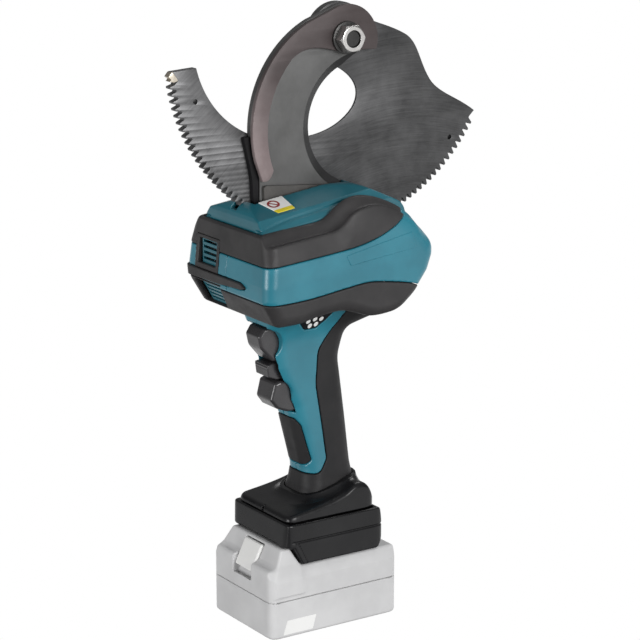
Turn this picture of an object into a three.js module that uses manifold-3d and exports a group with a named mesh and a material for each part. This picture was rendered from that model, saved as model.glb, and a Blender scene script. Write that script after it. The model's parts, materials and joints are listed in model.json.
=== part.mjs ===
// A cordless ratcheting cable cutter: a pistol-grip power tool with a hook-shaped fixed blade, a toothed
// crescent blade that swings about a bolt at the hook's top, and a slide-on battery that it stands on.
// Millimetres. +Z up, the trigger side faces -Y, and the blades lie in the YZ plane. The origin is on the
// battery's flat base, straight below the middle of the foot.
import * as THREE from 'three';
import { mergeVertices } from 'three/addons/utils/BufferGeometryUtils.js';
import Module from 'manifold-3d';

const wasm = await Module();
wasm.setup();

// ---- driving dimensions -------------------------------------------------------------------------
const GAP = 0.3;                     // clearance between touching pieces

const PIVOT_Y = 28.5;                 // blade pivot
const PIVOT_Z = 401.5;
const TIP_RADIUS = 131.5;             // ratchet tooth tips, about the pivot
const TOOTH_DEPTH = 4;
const TOOTH_COUNT = 65;
const TEETH_START = 187.5;           // degrees, end of the tail
const TEETH_END = 329.5;             // degrees, heel of the blade
const SWEEP_RADIUS = TIP_RADIUS + 1.5;

const MOVING_X = [-5, 1];            // thickness of each plate of the blade stack
const FIXED_X = [1.3, 6];
const ARM_X = [6.3, 10];
const DISC_X = [-9.3, -5.3];
const WASHER_X = [10.3, 12];
const NUT_X = [12.1, 19.5];
const NUT_RADIUS = 10;                // to the corners
const BOLT_END_X = 18.8;
const BOLT_RADIUS = 6;
const BUSHING_RADIUS = 8.7;

const BODY_HALF = 53;                // motor housing
const BODY_WALL = 4;
const DECK_HALF = 37;
const DECK_WALL = 4;
const PLATE_LEFT_X = [-9.5, -6.3];   // steel side plates that hold the blades and the drive
const PLATE_RIGHT_X = [6.3, 9.5];

const CRANK_Y = 28;
const CRANK_Z = 240;
const DRIVE_PIN = [54, 255];
const HOLD_PIN = [0, 255];
const ROOT_BOLTS = [[-22, 267], [-18, 245]];
const MOTOR_X = -31;
const MOTOR_Z = 250;

const GRIP_HALF = 16.5;              // handle
const GRIP_SKIN = 4;
const TRIGGER_HALF = 11;

const FOOT_HALF = 37;                // battery foot
const BATTERY_HALF = 39;
const RAIL_HALF = 25.6;
const TERMINAL_X = [-12, 12];
const LATCH_SLOPE = 26.4;            // degrees, the battery's sloped front from upright
const LATCH_PLACE = [0, -42.5, 49.7];
const LATCH_POCKET = [0, -43.8, 47.3];

// ---- colours --------------------------------------------------------------------------------------
const TEAL = ['#1d6f80', 0.38, 0.0];
const BLACK = ['#2b2b2d', 0.62, 0.0];
const DARK_STEEL = ['#4a4846', 0.42, 0.85];
const BROWN_STEEL = ['#5b4746', 0.45, 0.8];
const BRIGHT_STEEL = ['#b9b9b7', 0.3, 0.95];
const PALE = ['#bcbcbd', 0.55, 0.0];
const WHITE = ['#e9e9e6', 0.5, 0.0];
const BOARD = ['#27523a', 0.6, 0.0];

const tool = new THREE.Group();

// ---- helpers --------------------------------------------------------------------------------------
// A three.js geometry as a manifold solid.
function solid(geometry) {
  const bare = new THREE.BufferGeometry();
  bare.setAttribute('position', geometry.getAttribute('position'));
  if (geometry.index) bare.setIndex(geometry.index);
  const merged = mergeVertices(bare, 1e-4);
  const corners = [];
  const index = merged.index.array;
  for (let i = 0; i < index.length; i += 3) {
    const [a, b, c] = [index[i], index[i + 1], index[i + 2]];
    if (a !== b && b !== c && a !== c) corners.push(a, b, c);
  }
  const vertProperties = new Float32Array(merged.getAttribute('position').array);
  return new wasm.Manifold(new wasm.Mesh({ numProp: 3, vertProperties, triVerts: new Uint32Array(corners) }));
}

function join(first, ...rest) {
  return rest.reduce((whole, piece) => whole.add(piece), first);
}

function cut(first, ...rest) {
  return rest.reduce((whole, piece) => whole.subtract(piece), first);
}

function common(first, ...rest) {
  return rest.reduce((whole, piece) => whole.intersect(piece), first);
}

// The largest body of a cut piece, without the slivers where two cuts meet.
function largest(piece) {
  return piece.decompose().sort((a, b) => b.volume() - a.volume())[0];
}

// Adds a finished piece to the tool.
function place(name, piece, [color, roughness, metalness]) {
  const mesh = piece.getMesh();
  const geometry = new THREE.BufferGeometry();
  geometry.setAttribute('position', new THREE.BufferAttribute(mesh.vertProperties, mesh.numProp));
  geometry.setIndex(new THREE.BufferAttribute(mesh.triVerts, 1));
  geometry.computeVertexNormals();
  const node = new THREE.Mesh(geometry, new THREE.MeshStandardMaterial({ color, roughness, metalness }));
  node.name = name;
  tool.add(node);
}

function box([x0, x1], [y0, y1], [z0, z1]) {
  const geometry = new THREE.BoxGeometry(x1 - x0, y1 - y0, z1 - z0);
  return solid(geometry.translate((x0 + x1) / 2, (y0 + y1) / 2, (z0 + z1) / 2));
}

// A box turned about X by angle degrees, centred at (x, y, z).
function tiltedBox([width, depth, height], [x, y, z], angle) {
  const geometry = new THREE.BoxGeometry(width, depth, height);
  return solid(geometry.rotateX(THREE.MathUtils.degToRad(angle)).translate(x, y, z));
}

// A cylinder along X at (y, z).
function rodX([y, z], radius, [x0, x1], sides = 24) {
  const geometry = new THREE.CylinderGeometry(radius, radius, x1 - x0, sides);
  return solid(geometry.rotateZ(Math.PI / 2).translate((x0 + x1) / 2, y, z));
}

// A closed outline through corners [u, v, radius]: each corner is rounded by its radius.
function outline(corners) {
  const shape = new THREE.Shape();
  corners.forEach(([u, v, radius = 0], i) => {
    const here = new THREE.Vector2(u, v);
    const before = new THREE.Vector2(...corners.at(i - 1)).sub(here).normalize();
    const after = new THREE.Vector2(...corners[(i + 1) % corners.length]).sub(here).normalize();
    const half = Math.acos(THREE.MathUtils.clamp(before.dot(after), -1, 1)) / 2;
    const reach = radius / Math.tan(half);
    const start = here.clone().addScaledVector(before, reach);
    const end = here.clone().addScaledVector(after, reach);
    if (i === 0) shape.moveTo(start.x, start.y);
    else shape.lineTo(start.x, start.y);
    if (radius > 0) shape.quadraticCurveTo(u, v, end.x, end.y);
  });
  shape.closePath();
  return shape;
}

// Extrudes a shape by depth. edge = [along, inward] rounds its rims, and inset shrinks the outline.
function extrude(shape, depth, { edge = [0, 0], inset = 0, steps = 3, curve = 3 } = {}) {
  const [along, inward] = edge;
  const geometry = new THREE.ExtrudeGeometry(shape, {
    depth: depth - 2 * along,
    curveSegments: curve,
    bevelEnabled: along > 0 || inset !== 0,
    bevelThickness: along || 1e-3,
    bevelSize: inward,
    bevelOffset: -inward - inset,
    bevelSegments: along > 0 ? steps : 1,
  });
  return geometry.translate(0, 0, along);
}

// An outline in the YZ plane, extruded along X.
function alongX(shape, [x0, x1], options) {
  const turn = new THREE.Matrix4().makeBasis(
    new THREE.Vector3(0, 1, 0), new THREE.Vector3(0, 0, 1), new THREE.Vector3(1, 0, 0));
  return solid(extrude(shape, x1 - x0, options).applyMatrix4(turn).translate(x0, 0, 0));
}

// An outline in the XZ plane, extruded along Y and then turned about X by angle degrees at (y, z).
function alongY(shape, [y0, y1], { angle = 0, about = [0, 0], ...options } = {}) {
  const turn = new THREE.Matrix4().makeBasis(
    new THREE.Vector3(1, 0, 0), new THREE.Vector3(0, 0, 1), new THREE.Vector3(0, -1, 0));
  const geometry = extrude(shape, y1 - y0, options).applyMatrix4(turn).translate(0, y1, 0);
  geometry.translate(0, -about[0], -about[1]).rotateX(THREE.MathUtils.degToRad(angle));
  return solid(geometry.translate(0, about[0], about[1]));
}

// An outline in the XY plane, extruded along Z.
function alongZ(shape, [z0, z1], options) {
  return solid(extrude(shape, z1 - z0, options).translate(0, 0, z0));
}

// A turned piece about an axis along Y at (x, z): profile points are [radius, y].
function turnedY(profile, [x, z], sides = 24) {
  const points = profile.map(([radius, y]) => new THREE.Vector2(radius, y));
  return solid(new THREE.LatheGeometry(points, sides).translate(x, 0, z));
}

function polar(radius, degrees) {
  const angle = THREE.MathUtils.degToRad(degrees);
  return [PIVOT_Y + radius * Math.cos(angle), PIVOT_Z + radius * Math.sin(angle)];
}

// ---- blades ---------------------------------------------------------------------------------------
function movingBlade() {
  const shape = new THREE.Shape();
  const root = TIP_RADIUS - TOOTH_DEPTH;
  const pitch = (TEETH_END - TEETH_START) / TOOTH_COUNT;
  shape.moveTo(...polar(root, TEETH_START));
  for (let tooth = 0; tooth < TOOTH_COUNT; tooth += 1) {
    const start = TEETH_START + tooth * pitch;
    shape.lineTo(...polar(TIP_RADIUS, start + pitch * 0.22));
    shape.lineTo(...polar(TIP_RADIUS, start + pitch * 0.55));
    shape.lineTo(...polar(root, start + pitch * 0.9));
  }
  shape.lineTo(142.5, 341);
  // rear edge, from the heel up to the hub
  shape.bezierCurveTo(128, 352, 110, 356, 103, 368);
  shape.bezierCurveTo(95, 380, 94, 393, 83, 399);
  shape.lineTo(50, 412);
  shape.absarc(PIVOT_Y, PIVOT_Z, 23, 0.46, Math.PI, false);
  // cutting edge, then the inner edge of the tail
  shape.lineTo(16, 386);
  shape.bezierCurveTo(38, 378, 50, 366, 40, 352);
  shape.bezierCurveTo(28, 338, 6, 334, -14, 336.5);
  shape.absarc(-14.1, 405.7, 69.2, -Math.PI / 2, -Math.PI + 0.24, true);
  shape.lineTo(...polar(root, TEETH_START - 1.2));
  shape.closePath();
  for (const [y, z, radius] of [[PIVOT_Y, PIVOT_Z, BUSHING_RADIUS + GAP], [-82, 367, 1.6], [121, 324, 1.6]]) {
    shape.holes.push(new THREE.Path().absarc(y, z, radius, 0, Math.PI * 2, true));
  }
  return alongX(shape, MOVING_X, { curve: 10 });
}

const HOOK = { y: 33.9, z: 344.1, outer: 77.7 };
const EDGE = { y: 45.8, z: 342.8, radius: 42.1 };

function fixedBlade() {
  const shape = new THREE.Shape();
  shape.moveTo(-30, 240);
  shape.lineTo(-37, 290);
  shape.lineTo(-36.8, 313);
  shape.lineTo(-43.8, 343);
  shape.absarc(HOOK.y, HOOK.z, HOOK.outer, Math.PI, Math.PI * 0.64, true);
  shape.absarc(PIVOT_Y + 1.5, PIVOT_Z - 2.5, 24.5, Math.PI * 0.64, -0.3, true);
  shape.lineTo(43, 392.4);
  shape.lineTo(37, 388);
  shape.absarc(EDGE.y, EDGE.z, EDGE.radius, Math.PI * 0.62, Math.PI * 1.36, false);
  shape.lineTo(29, 296);
  shape.lineTo(22, 256);
  shape.lineTo(-9, 256);
  shape.lineTo(-9, 240);
  shape.closePath();
  const blade = alongX(shape, FIXED_X, { curve: 12 });
  const holes = ROOT_BOLTS.map((point) => rodX(point, 4 + GAP, [0, 8], 16));
  return cut(blade, rodX([PIVOT_Y, PIVOT_Z], BOLT_RADIUS + GAP, [0, 8]), rodX(HOLD_PIN, 3 + GAP, [0, 8], 16), ...holes);
}

function armPlate() {
  const shape = new THREE.Shape();
  shape.moveTo(-40, 316);
  shape.absarc(32, 344.4, 76.5, Math.PI * 1.08, Math.PI * 0.64, true);
  shape.absarc(PIVOT_Y + 1.5, PIVOT_Z - 2.5, 24.5, Math.PI * 0.64, -0.3, true);
  shape.lineTo(43, 392.4);
  shape.lineTo(33, 390.6);
  shape.bezierCurveTo(20, 391.5, 2, 403, -14, 390);
  shape.absarc(36.9, 342.3, 69.6, Math.PI * 0.76, Math.PI * 1.12, false);
  shape.quadraticCurveTo(-31, 308, -37, 311);
  shape.closePath();
  return cut(alongX(shape, ARM_X, { curve: 12 }), rodX([PIVOT_Y, PIVOT_Z], BOLT_RADIUS + GAP, [0, 20]));
}

function wearStrip() {
  const strip = [[-48.4, 341, 1], [-44.3, 341], [-37.4, 313], [-37.6, 296], [-41.2, 296], [-42.2, 314, 12]];
  return alongX(outline(strip), [FIXED_X[0], FIXED_X[1] - 1]);
}

function rootGuard() {
  return alongX(outline([[-35, 296], [-35.5, 308, 2], [12, 304, 6], [26, 300, 3], [27, 296]]), [6.3, 8.8]);
}

function pivotBolt() {
  const disc = rodX([PIVOT_Y, PIVOT_Z], 20.5, DISC_X, 32);
  const hub = rodX([PIVOT_Y, PIVOT_Z], 9, [DISC_X[0] - 3.5, DISC_X[0] + 1], 6);
  return join(disc, hub, rodX([PIVOT_Y, PIVOT_Z], BOLT_RADIUS, [DISC_X[0], BOLT_END_X], 24));
}

function ring([y, z], outer, inner, x, sides = 24) {
  return cut(rodX([y, z], outer, x, sides), rodX([y, z], inner, [x[0] - 1, x[1] + 1], 24));
}

place('moving_blade', movingBlade(), DARK_STEEL);
place('fixed_blade', fixedBlade(), DARK_STEEL);
place('arm_plate', armPlate(), BROWN_STEEL);
place('wear_strip', wearStrip(), BLACK);
place('root_guard', rootGuard(), BROWN_STEEL);
place('pivot_bolt', pivotBolt(), DARK_STEEL);
place('pivot_bushing', ring([PIVOT_Y, PIVOT_Z], BUSHING_RADIUS, BOLT_RADIUS + GAP, [-4.7, 0.7]), BRIGHT_STEEL);
place('pivot_washer', ring([PIVOT_Y, PIVOT_Z], 11, BOLT_RADIUS + GAP, WASHER_X), BRIGHT_STEEL);
place('pivot_nut', ring([PIVOT_Y, PIVOT_Z], NUT_RADIUS, BOLT_RADIUS + GAP, NUT_X, 6), BRIGHT_STEEL);

// ---- frame and drive inside the housing ------------------------------------------------------------
function sidePlate(x) {
  const plate = alongX(outline([[-36, 234, 4], [-36, 275, 4], [61, 270, 6], [61, 246, 6], [48, 230, 6]]), x);
  const wide = [x[0] - 1, x[1] + 1];
  const holes = [...ROOT_BOLTS.map((point) => rodX(point, 4 + GAP, wide, 16)),
    rodX(DRIVE_PIN, 3 + GAP, wide, 16), rodX(HOLD_PIN, 3 + GAP, wide, 16),
    rodX([CRANK_Y, CRANK_Z], 10 + GAP, wide)];
  return cut(plate, ...holes);
}

function rootBolt(point) {
  return join(rodX(point, 4, [-13, 13], 16), rodX(point, 6.5, [-13, -9.8], 6), rodX(point, 6.5, [9.8, 13], 6));
}

function pawl(corners, pin) {
  return cut(alongX(outline(corners), [MOVING_X[0] + 0.2, MOVING_X[1] - 0.2]), rodX(pin, 3 + GAP, [-9, 9], 16));
}

// A torsion spring: a helix about an axis along X.
function torsionSpring([y, z], x0) {
  const [turns, perTurn, radius, pitch] = [2, 8, 5, 1.8];
  const points = [];
  for (let step = 0; step <= turns * perTurn; step += 1) {
    const angle = (step / perTurn) * Math.PI * 2;
    points.push(new THREE.Vector3(x0 + (pitch * step) / perTurn, y + radius * Math.cos(angle),
      z + radius * Math.sin(angle)));
  }
  const wire = new THREE.Shape().absarc(0, 0, 0.6, 0, Math.PI * 2, false);
  const path = new THREE.CatmullRomCurve3(points);
  const geometry = new THREE.ExtrudeGeometry(wire, { steps: turns * perTurn, curveSegments: 3, extrudePath: path });
  return solid(geometry);
}

function crankShaft() {
  const eccentric = rodX([CRANK_Y, CRANK_Z + 3], 11, [MOVING_X[0] + 0.3, MOVING_X[1] - 0.3], 28);
  return join(rodX([CRANK_Y, CRANK_Z], 6, [-12.5, 24]), eccentric);
}

function motorRotor() {
  const profile = [[0, -52], [2, -52], [2, -50.5], [14, -50], [14, -47.5], [2.5, -47], [2.5, -41],
    [13, -41], [13, -10], [2.5, -10], [2.5, -1], [4, -1], [4, 8], [0, 8]];
  return turnedY(profile, [MOTOR_X, MOTOR_Z]);
}

function motorCan() {
  const profile = [[14, -44], [17.5, -44], [17.5, -2], [4.5, -2], [4.5, -5], [14, -5], [14, -44]];
  return turnedY(profile, [MOTOR_X, MOTOR_Z]);
}

function gearboxCase() {
  return turnedY([[5, -1.6], [17.5, -1.6], [17.5, 17], [12, 20], [0, 20], [0, 10], [5, 10], [5, -1.6]],
    [MOTOR_X, MOTOR_Z]);
}

function controlBoard() {
  return join(box([36, 37.6], [-34, 26], [229, 258]), box([30, 36.5], [-26, -12], [234, 246]),
    rodX([14, 246], 6, [26, 36.5], 16), rodX([-2, 246], 4, [28, 36.5], 12));
}

place('side_plate_left', sidePlate(PLATE_LEFT_X), BRIGHT_STEEL);
place('side_plate_right', sidePlate(PLATE_RIGHT_X), BRIGHT_STEEL);
place('root_bolt_front', rootBolt(ROOT_BOLTS[0]), BRIGHT_STEEL);
place('root_bolt_rear', rootBolt(ROOT_BOLTS[1]), BRIGHT_STEEL);
place('drive_pawl', pawl([[60, 249, 4], [59, 261, 4], [48, 264, 2], [38, 268.6], [35.5, 266], [42, 257, 3],
  [51, 248, 4]], DRIVE_PIN), DARK_STEEL);
place('holding_pawl', pawl([[-6, 249, 4], [-5, 261, 4], [8, 264, 2], [18, 268.6], [20.5, 266], [14, 257, 3],
  [4, 248, 4]], HOLD_PIN), DARK_STEEL);
place('drive_pawl_pin', rodX(DRIVE_PIN, 3, [-10.5, 20], 16), BRIGHT_STEEL);
place('holding_pawl_pin', rodX(HOLD_PIN, 3, [-10.5, 20], 16), BRIGHT_STEEL);
place('drive_pawl_spring', torsionSpring(DRIVE_PIN, 11.5), BRIGHT_STEEL);
place('holding_pawl_spring', torsionSpring(HOLD_PIN, 11.5), BRIGHT_STEEL);
place('crank_shaft', crankShaft(), BRIGHT_STEEL);
place('crank_bearing_left', ring([CRANK_Y, CRANK_Z], 10, 6 + GAP, PLATE_LEFT_X), BRIGHT_STEEL);
place('crank_bearing_right', ring([CRANK_Y, CRANK_Z], 10, 6 + GAP, PLATE_RIGHT_X), BRIGHT_STEEL);
place('motor_rotor', motorRotor(), BRIGHT_STEEL);
place('motor_can', motorCan(), DARK_STEEL);
place('gearbox_case', gearboxCase(), DARK_STEEL);
place('control_board', controlBoard(), BOARD);

// ---- handle -----------------------------------------------------------------------------------------
const HANDLE = outline([[-37, 228], [-36, 209, 12], [-22, 184, 14], [-15, 152, 20], [-5, 106, 14], [-5, 85],
  [35, 85], [32.5, 108, 14], [23, 186, 20], [29, 204, 9], [52, 211, 9], [58, 228]]);
const NECK = outline([[-37, 228], [-36, 213, 8], [-14, 203, 9], [24, 203, 9], [52, 211, 9], [58, 228]]);
const NECK_FRONT = outline([[-28, 228], [-26, 217, 8], [-14, 201], [14, 201], [26, 217, 8], [28, 228]]);
const GRIP_SPLIT = [[22, 232], [15, 210, 8], [2, 192, 14], [0, 168, 30], [9, 116, 8], [7, 107, 5], [-40, 110],
  [-40, 70], [90, 70], [90, 232]];
const PAD_SPLIT = [[-40, 150], [-14, 146, 3], [-8, 140, 6], [-1, 115, 5], [-5, 111, 3], [-40, 110.6]];
const ALL_X = [-80, 80];

function handleSolid(inset = 0) {
  const span = [-GRIP_HALF + inset, GRIP_HALF - inset];
  const neckSpan = [-40 + inset, 40 - inset];
  const flare = common(alongX(NECK, neckSpan, { inset }), alongY(NECK_FRONT, [-40, 60], { inset }));
  return join(alongX(HANDLE, span, { edge: [9 - inset, 8 - inset], inset }), flare);
}

const handleTop = box([-80, 80], [-80, 90], [222, 260]);

function handleCore() {
  const bare = cut(handleSolid(), alongX(outline(GRIP_SPLIT), ALL_X, { inset: -GAP }),
    alongX(outline(PAD_SPLIT), ALL_X, { inset: -GAP }));
  const whole = cut(join(bare, handleSolid(GRIP_SKIN + GAP)), handleTop);
  const triggerBay = box([-TRIGGER_HALF - GAP, TRIGGER_HALF + GAP], [-60, 12], [147, 216]);
  const panelBed = tiltedX([29.6, 5.6, 13.6], [22.5, -6, 212]);
  return cut(whole, triggerBay, panelBed);
}

// A box whose outer face leans out along the flare of the neck.
function tiltedX([depth, width, height], [x, y, z]) {
  const geometry = new THREE.BoxGeometry(width, depth, height);
  return solid(geometry.rotateY(THREE.MathUtils.degToRad(37)).translate(x, y, z));
}

function rearGrip() {
  const skin = cut(handleSolid(), handleSolid(GRIP_SKIN), handleTop);
  return common(skin, alongX(outline(GRIP_SPLIT), ALL_X));
}

function frontPad() {
  return common(cut(handleSolid(), handleSolid(GRIP_SKIN)), alongX(outline(PAD_SPLIT), ALL_X));
}

const handle = handleCore();
place('handle_left', cut(handle, box([-GAP / 2, 80], [-80, 90], [60, 260])), TEAL);
place('handle_right', cut(handle, box([-80, GAP / 2], [-80, 90], [60, 260])), TEAL);
place('rear_grip', rearGrip(), BLACK);
place('front_grip_pad', frontPad(), BLACK);
place('indicator_panel', common(tiltedX([29, 5, 13], [22.5, -6, 212]), handleSolid()), BLACK);

const triggerSpan = [-TRIGGER_HALF, TRIGGER_HALF];
const UPPER_TRIGGER = outline([[-33, 212, 2], [-40, 205, 4], [-37, 196, 6], [-28, 186.5], [-8, 186.5], [-8, 212]]);
const LOWER_TRIGGER = outline([[-26, 173, 2], [-31, 160, 4], [-24, 153, 5], [-16, 150], [-4, 150], [-4, 173]]);
place('upper_trigger', alongX(UPPER_TRIGGER, triggerSpan, { edge: [3, 1.5], steps: 2 }), BLACK);
place('lower_trigger', alongX(LOWER_TRIGGER, triggerSpan, { edge: [3, 1.5], steps: 2 }), BLACK);
place('selector_button', alongX(outline([[-27, 186, 1], [-33.5, 185, 1.5], [-32.5, 176, 1.5], [-26, 173.4, 1],
  [-14, 173.4], [-14, 186]]), [-8, 8], { edge: [1.2, 0.8], steps: 1 }), BLACK);
place('upper_switch', box([-9, 9], [-2.5, 11], [188, 211]), BLACK);
place('lower_switch', box([-9, 9], [1.5, 11], [151, 172]), BLACK);

// ---- housing ----------------------------------------------------------------------------------------
const BODY = outline([[-46, 215, 12], [-60, 240, 14], [-60, 262, 12], [-55, 282, 10], [-10, 286, 16], [6, 297, 14],
  [30, 298, 14], [56, 288, 14], [73, 267, 16], [67, 238, 14], [50, 221, 14]]);
const UNDERSIDE = outline([[-60, 320], [-60, 240], [-52.5, 228, 5], [-45, 220, 7], [45, 220, 7], [52.5, 228, 5],
  [60, 240], [60, 320]]);
const DECK = outline([[-55, 277], [-55, 285, 6], [-50, 296, 8], [8, 304.5, 30], [30, 304.5, 20], [57, 291, 12],
  [64, 277]]);
const CROWN = outline([[-37, 240], [-37, 282, 4], [-29, 296.5, 9], [29, 296.5, 9], [37, 282, 4], [37, 240]]);
const CROWN_HOLLOW = outline([[-33, 240], [-33, 280], [-26, 291.5], [26, 291.5], [33, 280], [33, 240]]);
const DECK_SLOPE = 8;                // degrees, front to rear
const UPPER_SPLIT = [[-90, 260.5], [-36, 264.6], [11, 269.6, 20], [32, 275.5, 20], [50, 288], [58, 310], [-90, 310]];
const LOWER_SPLIT = [[-90, 237], [-29, 238.6, 20], [12, 244, 30], [35, 243, 20], [90, 232], [90, 200], [-90, 200]];
const NOSE_DEPTH = 2;

function body(inset = 0) {
  const half = BODY_HALF - inset;
  return common(alongX(BODY, [-half, half], { edge: [8 - inset, 8 - inset], steps: 3, inset }),
    alongY(UNDERSIDE, [-90, 100], { inset }));
}

function deck(inset = 0, section = CROWN) {
  const crown = alongY(section, [-90, 120], { inset: Math.min(inset, 0), angle: DECK_SLOPE, about: [-50, 296] });
  return common(alongX(DECK, [-DECK_HALF + inset, DECK_HALF - inset], { inset }), crown);
}

const bladeSlot = rodX([PIVOT_Y, PIVOT_Z], SWEEP_RADIUS, [MOVING_X[0] - 1, MOVING_X[1] + 0.3], 72);
const hookSlot = box([FIXED_X[0] - 0.5, ARM_X[1] + 0.6], [-43, 30], [250, 320]);
const skin = cut(body(), body(BODY_WALL));
const deckHole = join(deck(-GAP), alongX(DECK, [-DECK_HALF - GAP, DECK_HALF + GAP], { inset: -GAP }));
const upperZone = (inset) => alongX(outline(UPPER_SPLIT), ALL_X, { inset });
const lowerZone = (inset) => alongX(outline(LOWER_SPLIT), ALL_X, { inset });

// cover round the upper vent, and the pointed bar across the nose
const COVER = outline([[-40, 250.5], [-40, 271, 3], [-10, 271, 2], [-10, 250.5]]);
const BAR = outline([[-46, 241, 1], [-46, 249.5, 1], [-14, 249, 2], [20, 247.4, 1], [25.5, 245], [21, 243.4, 1],
  [-14, 241.4, 2]]);
const nosePatch = (shape, inset = 0, depth = NOSE_DEPTH) => common(cut(body(), body(depth)),
  alongY(shape, [-70, -48], { inset }));
const UPPER_VENT = [[-36, -13.5], [-75, -45], [253, 268]];
const CHIN = { y: -52.6, z: 229, angle: 35 };
const LOWER_VENT = [-24.5, 28, 13];    // centre X, width, height along the chin
const upperVent = box(...UPPER_VENT);
const lowerVent = tiltedBox([LOWER_VENT[1], 14, LOWER_VENT[2]], [LOWER_VENT[0], CHIN.y, CHIN.z], CHIN.angle);

function shellHalf(sideCut) {
  return largest(cut(skin, sideCut, upperZone(-GAP), lowerZone(-GAP), bladeSlot, deckHole,
    nosePatch(COVER, -GAP, NOSE_DEPTH + 2 * GAP), nosePatch(BAR, -GAP, NOSE_DEPTH + 2 * GAP), upperVent));
}

function ventGrille([width, height], slats, frame) {
  const slot = (height - 2 * frame) / slats;
  let grille = box([-width / 2, width / 2], [0, 2.4], [-height / 2, height / 2]);
  for (let i = 0; i < slats; i += 1) {
    const z = -height / 2 + frame + slot * i;
    grille = cut(grille, box([-width / 2 + frame, width / 2 - frame], [-1, 4], [z + slot * 0.55, z + slot]));
  }
  return grille;
}

// Moves a solid by (x, y, z) after turning it about X by angle degrees.
function moved(piece, [x, y, z], angle = 0) {
  const mesh = piece.getMesh();
  const geometry = new THREE.BufferGeometry();
  geometry.setAttribute('position', new THREE.BufferAttribute(mesh.vertProperties, 3));
  geometry.setIndex(new THREE.BufferAttribute(mesh.triVerts, 1));
  return solid(geometry.rotateX(THREE.MathUtils.degToRad(angle)).translate(x, y, z));
}

function upperBumper() {
  return largest(cut(common(skin, upperZone(0)), deckHole, bladeSlot,
    nosePatch(COVER, -GAP, NOSE_DEPTH + 2 * GAP), upperVent));
}

function lowerBumper() {
  const neckHole = handleSolid(-GAP);
  return cut(common(skin, lowerZone(0)), neckHole, lowerVent, nosePatch(BAR, -GAP, NOSE_DEPTH + 2 * GAP));
}

function topDeck() {
  const hollow = join(deck(DECK_WALL, CROWN_HOLLOW), box([-33, 33], [-51, 58], [270, 281]));
  return cut(deck(), hollow, bladeSlot, hookSlot);
}

place('housing_left', shellHalf(box([-GAP / 2, 80], [-90, 90], [200, 320])), TEAL);
place('housing_right', shellHalf(box([-80, GAP / 2], [-90, 90], [200, 320])), TEAL);
place('upper_bumper', upperBumper(), BLACK);
place('lower_bumper', lowerBumper(), BLACK);
place('top_deck', topDeck(), TEAL);
place('nose_cover', cut(nosePatch(COVER), upperVent), BLACK);
place('nose_bar', nosePatch(BAR), BLACK);
place('upper_vent_grille', moved(ventGrille([21.9, 14.4], 4, 1.2), [-24.75, -57.4, 260.5]), TEAL);
place('lower_vent_grille', moved(ventGrille([27.4, 12.4], 4, 1.2), [LOWER_VENT[0], CHIN.y + 1.2, CHIN.z + 0.8], CHIN.angle),
  TEAL);
place('label_plate', moved(box([-8.3, 8.3], [-11.5, 11.5], [0, 0.8]), [19.3, -29, 299.4], DECK_SLOPE), WHITE);

// ---- foot and battery ---------------------------------------------------------------------------------
function footPlan(half, front, rear, radius) {
  return alongZ(outline([[-half, front, radius], [half, front, radius], [half, rear, radius], [-half, rear, radius]]),
    [40, 110]);
}

function footUpper() {
  const side = outline([[-32, 70], [-32.5, 83, 7], [-8, 88.5, 12], [24, 100, 10], [36, 93, 9], [40, 70]]);
  const half = FOOT_HALF - 3;
  const block = common(alongX(side, [-half, half], { edge: [7, 5] }), footPlan(half, -33, 40, 10));
  return cut(block, box([-60, 60], [-60, 60], [60, 79]), handleSolid(-GAP));
}

function footLower() {
  const side = outline([[-35, 62], [-34.5, 78.7], [41, 78.7], [44, 68, 4], [44, 56, 6], [39, 49.5, 3],
    [-23, 49.5], [-29.4, 62]]);
  const block = common(alongX(side, [-FOOT_HALF, FOOT_HALF]), footPlan(FOOT_HALF, -36, 45, 9));
  return cut(block, box([-RAIL_HALF - 0.4, RAIL_HALF + 0.4], [-60, 36], [40, 63]));
}

function batteryUpper() {
  const shoulder = alongX(outline([[-50, 26.3], [-50, 43, 4], [-45, 49], [52, 49], [54, 43, 4], [54, 26.3]]),
    [-BATTERY_HALF, BATTERY_HALF], { edge: [5, 2.5], steps: 3 });
  const trimmed = cut(shoulder, box([-60, 60], [-60, 60], [20, 26.3 + 4]));
  const wall = batteryBlock([26.3, 32]);
  const hump = alongX(outline([[-49.4, 38.5], [-37.5, 61.5, 3], [-30.8, 61.5, 1], [-24.4, 49.2], [-24, 42]]),
    [-33, 33]);
  const rail = box([-RAIL_HALF, RAIL_HALF], [-30, 33], [46, 61]);
  const cells = box([-36, 36], [-47, 51], [10, 45]);
  const pocket = tiltedBox([22.6, 6.2, 26], LATCH_POCKET, -LATCH_SLOPE);
  const slots = TERMINAL_X.map((x) => box([x - 1, x + 1], [20, 40], [53, 62]));
  return cut(join(trimmed, wall, hump, rail), cells, pocket, ...slots);
}

function terminalBlock() {
  const blades = TERMINAL_X.map((x) => box([x - 0.5, x + 0.5], [24, 34], [54, 60]));
  return join(box([-20, 20], [33.4, 35.7], [50, 62.7]), ...blades);
}

function batteryBlock([z0, z1]) {
  const [half, front, rear] = [BATTERY_HALF, -50, 54];
  return alongZ(outline([[-half, front, 6], [half, front, 6], [half, rear, 6], [-half, rear, 6]]), [z0, z1]);
}

function batteryLower() {
  return cut(batteryBlock([0, 26]), box([-36, 36], [-47, 51], [3, 40]));
}

function cellPack() {
  const [cellRadius, spacing] = [9, 18.6];
  const holder = box([-3, 3], [-38, 42], [10, 35]);
  const cells = [];
  for (const row of [0, 1]) {
    for (const column of [-2, -1, 0, 1, 2]) {
      cells.push(rodX([2 + column * spacing, 13.5 + row * spacing], cellRadius, [-32.5, 32.5], 8));
    }
  }
  return join(holder, ...cells);
}

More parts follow.
